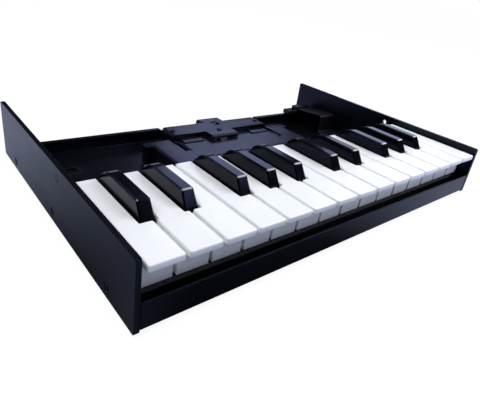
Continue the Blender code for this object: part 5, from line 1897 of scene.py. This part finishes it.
@dataclass
class PlugAndLead:
    """Module plug with a ribbed cap, its flat lead and the clamp that holds it down."""

    shop: Workshop
    left: float = 0.1135
    width: float = 0.0345
    depth: float = 0.009
    height: float = 0.0043
    cap_height: float = 0.0036
    ridge: float = 0.0007
    ridges: int = 4
    ridge_flat: Pair = (0.3, 0.7)
    edge: float = 0.0002
    fine: float = 0.0001
    lead_width: float = 0.022
    lead_thickness: float = 0.001
    lead_right: float = 0.149
    crest_y: float = 0.1485
    crest_rise: float = 0.0201
    bend: float = 0.0024
    beam_end: float = 0.0975
    clamp_y: float = 0.128
    clamp_depth: float = 0.006
    clamp_wall: float = 0.001
    clamp_heel: float = 0.0009
    conductors: int = 14
    swell: float = 0.00012
    conductor_steps: int = 6
    hem_steps: int = 3
    hem: float = 0.45

    def plug(self) -> bmesh.types.BMesh:
        """Model the plug body with its grip ridges and its socket.

        Returns:
            A closed mesh.
        """
        datum = self.shop.datum
        thickness = datum.sheet.thickness
        low = datum.rear_wall_top + SEAT
        high, rear = low + self.height, datum.rear_wall
        front, right = rear - self.depth, self.left + self.width
        body = prism(rounded_outline(
            [(front, low), (rear, low), (rear, high), (front, high)],
            [self.ridge, self.edge, self.ridge, self.ridge], 4), "X", self.left, right)
        cap_front, cap_rear = front + thickness, rear - thickness
        pitch = (cap_rear - cap_front) / self.ridges
        top = high + self.cap_height
        flat_start, flat_end = self.ridge_flat
        corners, radii = [(cap_front, low + self.ridge), (cap_rear, low + self.ridge)], [0.0, 0.0]
        for index in range(self.ridges, 0, -1):
            base = cap_front + pitch * (index - 1)
            corners += [(base + pitch, top - self.ridge), (base + pitch * flat_end, top),
                        (base + pitch * flat_start, top)]
            radii += [self.fine, self.edge, self.edge]
        corners.append((cap_front, top - self.ridge))
        radii.append(self.fine)
        cap_left = self.lead_right - self.lead_width - thickness * 2
        cap = prism(rounded_outline(corners, radii, 3), "X", cap_left, right - thickness * 3)
        socket = block((self.left + thickness, cap_left - thickness),
                       (front - thickness, front + thickness), (low + thickness, high - thickness))
        return cut(join(body, cap), socket)

    def route(self) -> list[Pair]:
        """Return the lead's (y, z) middle line, along the floor, up and over to the plug.

        Returns:
            Points along the run.
        """
        datum = self.shop.datum
        run = datum.floor + SEAT * 2 + self.clamp_wall + self.lead_thickness / 2
        crest = datum.floor + self.crest_rise - self.lead_thickness / 2
        y, bend = self.crest_y, self.bend
        steps, slope_steps = 10, 12
        path = [(self.beam_end + SEAT, run), (y - bend, run)]
        arc = [math.pi / 2 * step / steps for step in range(1, steps + 1)]
        path += [(y - bend + bend * math.sin(a), run + bend * (1 - math.cos(a))) for a in arc]
        path += [(y + bend * (1 - math.cos(a)), crest - bend + bend * math.sin(a))
                 for a in [0.0] + arc]
        end_y = datum.rear_wall - self.depth + datum.sheet.thickness - SEAT
        end_z = datum.rear_wall_top + SEAT + self.height + self.lead_thickness
        start = y + bend
        for step in range(1, slope_steps + 1):
            share = step / slope_steps
            ease = share * share * (3 - 2 * share)
            path.append((start + (end_y - start) * share, crest + (end_z - crest) * ease))
        return path

    def section(self) -> list[Pair]:
        """Return the lead's section with a low ridge over each conductor, as (x, height).

        Returns:
            Outline points, over the top and back below.
        """
        columns = self.conductors * self.conductor_steps
        left, half = self.lead_right - self.lead_width, self.lead_thickness / 2
        upper = []
        for column in range(columns + 1):
            share = column / columns
            wave = (1 - math.cos(share * self.conductors * math.tau)) / 2
            hem = min(1.0, min(share, 1 - share) * columns / self.hem_steps)
            height = (half - self.swell + self.swell * wave) * (self.hem + (1 - self.hem) * hem)
            upper.append((left + self.lead_width * share, height))
        return upper + [(x, -height) for x, height in reversed(upper)]

    def lead(self) -> bmesh.types.BMesh:
        """Model the flat lead: its section swept along its route.

        Returns:
            A closed mesh.
        """
        path = self.route()
        places = []
        for index, (y, z) in enumerate(path):
            before, after = path[max(index - 1, 0)], path[min(index + 1, len(path) - 1)]
            lean = math.atan2(after[1] - before[1], after[0] - before[0])
            places.append(Matrix.Translation((0, y, z)) @ Matrix.Rotation(lean, 4, "X"))
        bm = bmesh.new()
        end = [bm.faces.new([bm.verts.new((x, 0, height)) for x, height in self.section()])]
        bmesh.ops.transform(bm, matrix=places[0], verts=bm.verts[:])
        for here, following in zip(places, places[1:]):
            # The first section stays as the end. The others are given with their rims, and go.
            rim = [] if here is places[0] else [edge for face in end for edge in face.edges]
            swept = bmesh.ops.extrude_face_region(bm, geom=end + rim, use_keep_orig=not rim)
            end = [face for face in swept["geom"] if isinstance(face, bmesh.types.BMFace)]
            verts = [vert for vert in swept["geom"] if isinstance(vert, bmesh.types.BMVert)]
            bmesh.ops.transform(bm, matrix=following @ here.inverted(), verts=verts)
        bmesh.ops.recalc_face_normals(bm, faces=bm.faces[:])
        return bm

    def clamp(self) -> bmesh.types.BMesh:
        """Model the clamp, a strap that is moulded in one with its base.

        Returns:
            A closed mesh.
        """
        datum = self.shop.datum
        run = datum.floor + SEAT * 2 + self.clamp_wall + self.lead_thickness / 2
        low, strap = datum.floor + SEAT, run + self.lead_thickness / 2 + SEAT
        wall_right = self.lead_right - self.lead_width - SEAT
        outer = wall_right - self.clamp_wall * 2
        profile = rounded_outline(
            [(outer, low), (self.lead_right, low), (self.lead_right, low + self.clamp_wall),
             (wall_right, low + self.clamp_wall), (wall_right, strap), (self.lead_right, strap),
             (self.lead_right, strap + self.clamp_wall), (outer, strap + self.clamp_wall)],
            [self.fine, self.edge, self.edge, 0.0, 0.0, self.edge, self.edge,
             self.clamp_heel])
        return prism(profile, "Y", self.clamp_y, self.clamp_y + self.clamp_depth)

    def build(self) -> None:
        """Build the plug, the lead and the clamp."""
        shop = self.shop
        shop.deliver("ribbed_module_plug", self.plug(), Finish.GREY_NYLON, "frame",
                     "module_plug", FINE_EDGE_MM)
        shop.deliver("flat_lead", self.lead(), Finish.JACKET, "frame", "ribbon_lead")
        shop.deliver("lead_clamp", self.clamp(), Finish.GREY_NYLON, "frame", "ribbon_clamp",
                     FINE_EDGE_MM)


@dataclass(frozen=True)
class Softbox:
    """One rectangular studio light."""

    name: str
    place: Point
    target: Point
    size: Pair
    watts: float
    colour: str = "#ffffff"

    def build(self) -> None:
        """Hang the light and aim it."""
        data = bpy.data.lights.new(self.name, "AREA")
        data.shape = "RECTANGLE"
        data.size, data.size_y = self.size
        data.energy = self.watts
        data.color = linear(self.colour)[:3]
        item = bpy.data.objects.new(self.name, data)
        aim = Vector(self.target) - Vector(self.place)
        item.matrix_world = (
            Matrix.Translation(self.place) @ aim.to_track_quat("-Z", "Y").to_matrix().to_4x4())
        bpy.context.scene.collection.objects.link(item)


@dataclass
class Studio:
    """Pale floor, soft lights, and the camera at the photograph's angle."""

    image: Pair = (480, 420)
    place: Point = (-0.217417, -0.225386, 0.145702)
    azimuth: float = 43.869
    elevation: float = -25.069
    roll: float = 8.991
    focal_px: float = 426.394
    centre_px: Pair = (-12.196, -33.956)
    sensor_mm: float = 36.0
    clip: Pair = (0.01, 20.0)
    floor_size: float = 24.0
    floor_roughness: float = 0.9
    # The floor as the camera sees it: its paint, and the share of it that glows.
    paint: str = "#e6e7ea"
    paper: str = "#ffffff"
    paper_glow: float = 0.85
    glow_reach: Pair = (0.5, 1.4)
    glow_strength: Pair = (1.08, 1.16)
    # The floor as the object sees it: painted shade round the dim centre, pale blue further out.
    dim_centre: Point = (-0.07, -0.05, 0.0)
    dim_reach: Pair = (0.08, 0.22)
    painted_shade_paint: str = "#22252e"
    pale_paint: str = "#aab4d0"
    # Painted light: away from the dim centre the floor glows pale blue onto the object.
    painted_glow_tint: str = "#c2cdea"
    painted_glow_share: float = 0.78
    sky: str = "#c9d4ff"
    surround: float = 0.05
    lights: Sequence[Softbox] = (
        Softbox("top_softbox", (-0.40, 0.0, 0.92), (0.0, 0.0, 0.0), (1.1, 0.9), 8.4),
        Softbox("rear_right_softbox", (0.70, 0.92, 0.60), (0.0, 0.03, 0.02), (0.45, 0.4), 1.25,
                "#c4d0ff"),
        Softbox("right_strip_softbox", (1.05, 0.47, 0.35), (0.10, -0.06, 0.03), (0.4, 0.3), 0.8,
                "#d2dcff"),
        Softbox("rear_left_softbox", (-0.55, 0.96, 0.69), (-0.1, 0.0, 0.02), (0.6, 0.4), 1.0,
                "#c4d0ff"),
        Softbox("right_key_softbox", (0.39, -0.15, 0.47), (0.0, -0.07, 0.04), (0.24, 0.5), 2.0,
                "#f4f6ff"),
        Softbox("upper_front_softbox", (0.25, -0.43, 0.34), (0.05, -0.10, 0.03), (0.3, 0.2), 0.7,
                "#e8eeff"),
        Softbox("low_front_softbox", (0.42, -0.48, 0.10), (0.05, -0.10, 0.03), (0.3, 0.12), 0.3,
                "#dfe6f8"),
    )

    def camera(self) -> None:
        """Set the camera from its place, angles and focal length in pixels."""
        data = bpy.data.cameras.new("camera")
        data.sensor_width = self.sensor_mm
        data.lens = self.focal_px * data.sensor_width / self.image[0]
        data.shift_x = self.centre_px[0] / self.image[0]
        data.shift_y = self.centre_px[1] / self.image[0]
        data.clip_start, data.clip_end = self.clip
        az, el, roll = (math.radians(a) for a in (self.azimuth, self.elevation, self.roll))
        forward = Vector((math.sin(az) * math.cos(el), math.cos(az) * math.cos(el), math.sin(el)))
        right = Vector((math.cos(az), -math.sin(az), 0.0))
        up = right.cross(forward)
        across = right * math.cos(roll) + up * math.sin(roll)
        upward = -right * math.sin(roll) + up * math.cos(roll)
        item = bpy.data.objects.new("camera", data)
        item.matrix_world = (
            Matrix.Translation(self.place)
            @ Matrix((across, upward, -forward)).transposed().to_4x4())
        bpy.context.scene.collection.objects.link(item)
        bpy.context.scene.camera = item

    def floor_material(self) -> bpy.types.Material:
        """Mix the floor: white to the camera with the object's shadow, painted shade and glow to the
        rest.

        Returns:
            The material.
        """
        material = bpy.data.materials.new("pale_floor")
        material.use_nodes = True
        tree = material.node_tree
        shader = tree.nodes["Principled BSDF"]
        path = add_node(tree, "ShaderNodeLightPath")
        place = add_node(tree, "ShaderNodeTexCoord").outputs["Object"]
        away = add_node(tree, "ShaderNodeVectorMath", {0: place, 1: self.dim_centre},
                        operation="DISTANCE").outputs["Value"]
        # Painted shade on the floor round the object, for light and reflections.
        dim = add_node(tree, "ShaderNodeMapRange", {
            "Value": away, "From Min": self.dim_reach[0], "From Max": self.dim_reach[1]})
        bounce = add_node(tree, "ShaderNodeMix", {
            0: dim.outputs["Result"], 6: linear(self.painted_shade_paint), 7: linear(self.pale_paint)},
            data_type="RGBA")
        paint = add_node(tree, "ShaderNodeMix", {
            0: path.outputs["Is Camera Ray"], 6: bounce.outputs[2], 7: linear(self.paint)},
            data_type="RGBA")
        tree.links.new(paint.outputs[2], shader.inputs["Base Color"])
        shader.inputs["Roughness"].default_value = self.floor_roughness
        far = add_node(tree, "ShaderNodeMapRange", {
            "Value": away, "From Min": self.glow_reach[0], "From Max": self.glow_reach[1],
            "To Min": self.glow_strength[0], "To Max": self.glow_strength[1]})
        tint = add_node(tree, "ShaderNodeMix", {
            0: path.outputs["Is Camera Ray"], 6: linear(self.painted_glow_tint), 7: linear(self.paper)},
            data_type="RGBA")
        # A painted glow: the floor away from the object shines on it, though it is no lamp.
        glow = add_node(tree, "ShaderNodeEmission", {
            "Color": tint.outputs[2], "Strength": far.outputs["Result"]})
        table = add_node(tree, "ShaderNodeMath", {0: dim.outputs["Result"], 1: self.painted_glow_share},
                         operation="MULTIPLY")
        share = add_node(tree, "ShaderNodeMix", {
            0: path.outputs["Is Camera Ray"], 2: table.outputs[0], 3: self.paper_glow},
            data_type="FLOAT")
        mix = add_node(tree, "ShaderNodeMixShader", {
            0: share.outputs[0], 1: shader.outputs["BSDF"], 2: glow.outputs["Emission"]})
        tree.links.new(mix.outputs["Shader"], tree.nodes["Material Output"].inputs["Surface"])
        return material

    def floor(self) -> None:
        """Lay the floor under the object."""
        bm = bmesh.new()
        bmesh.ops.create_grid(bm, x_segments=2, y_segments=2, size=self.floor_size / 2)
        floor = wrap(bm, "studio_floor")
        floor.data.materials.append(self.floor_material())

    def world(self) -> None:
        """Fill the surround: white to the camera, a dim even grey for light and reflections."""
        world = bpy.data.worlds.new("surround")
        world.use_nodes = True
        tree = world.node_tree
        back = tree.nodes["Background"]
        path = add_node(tree, "ShaderNodeLightPath")
        sky = add_node(tree, "ShaderNodeMix", {
            0: path.outputs["Is Camera Ray"], 6: linear(self.sky), 7: linear(self.paper)},
            data_type="RGBA")
        tree.links.new(sky.outputs[2], back.inputs["Color"])
        strength = add_node(tree, "ShaderNodeMapRange", {
            "Value": path.outputs["Is Camera Ray"], "To Min": self.surround, "To Max": 1.0})
        tree.links.new(strength.outputs["Result"], back.inputs["Strength"])
        bpy.context.scene.world = world

    def build(self) -> None:
        """Set up the whole studio."""
        self.camera()
        self.floor()
        self.world()
        for light in self.lights:
            light.build()
        bpy.context.scene.view_settings.view_transform = "Standard"


def main() -> None:
    """Build every sub-assembly and the studio."""
    logging.basicConfig(level=logging.INFO, format="%(name)s: %(message)s")
    shop = Workshop(Datum())
    panels = SidePanels(shop)
    pan = BasePan(shop, panels)
    platform = Platform(shop, pan, Hinge())
    for group in (panels, pan, KeyWorks(shop), Keys(shop), platform, Dock(shop, platform),
                  GuideBlock(shop, panels), PlugAndLead(shop)):
        group.build()
    Studio().build()


if __name__ == "__main__":
    main()
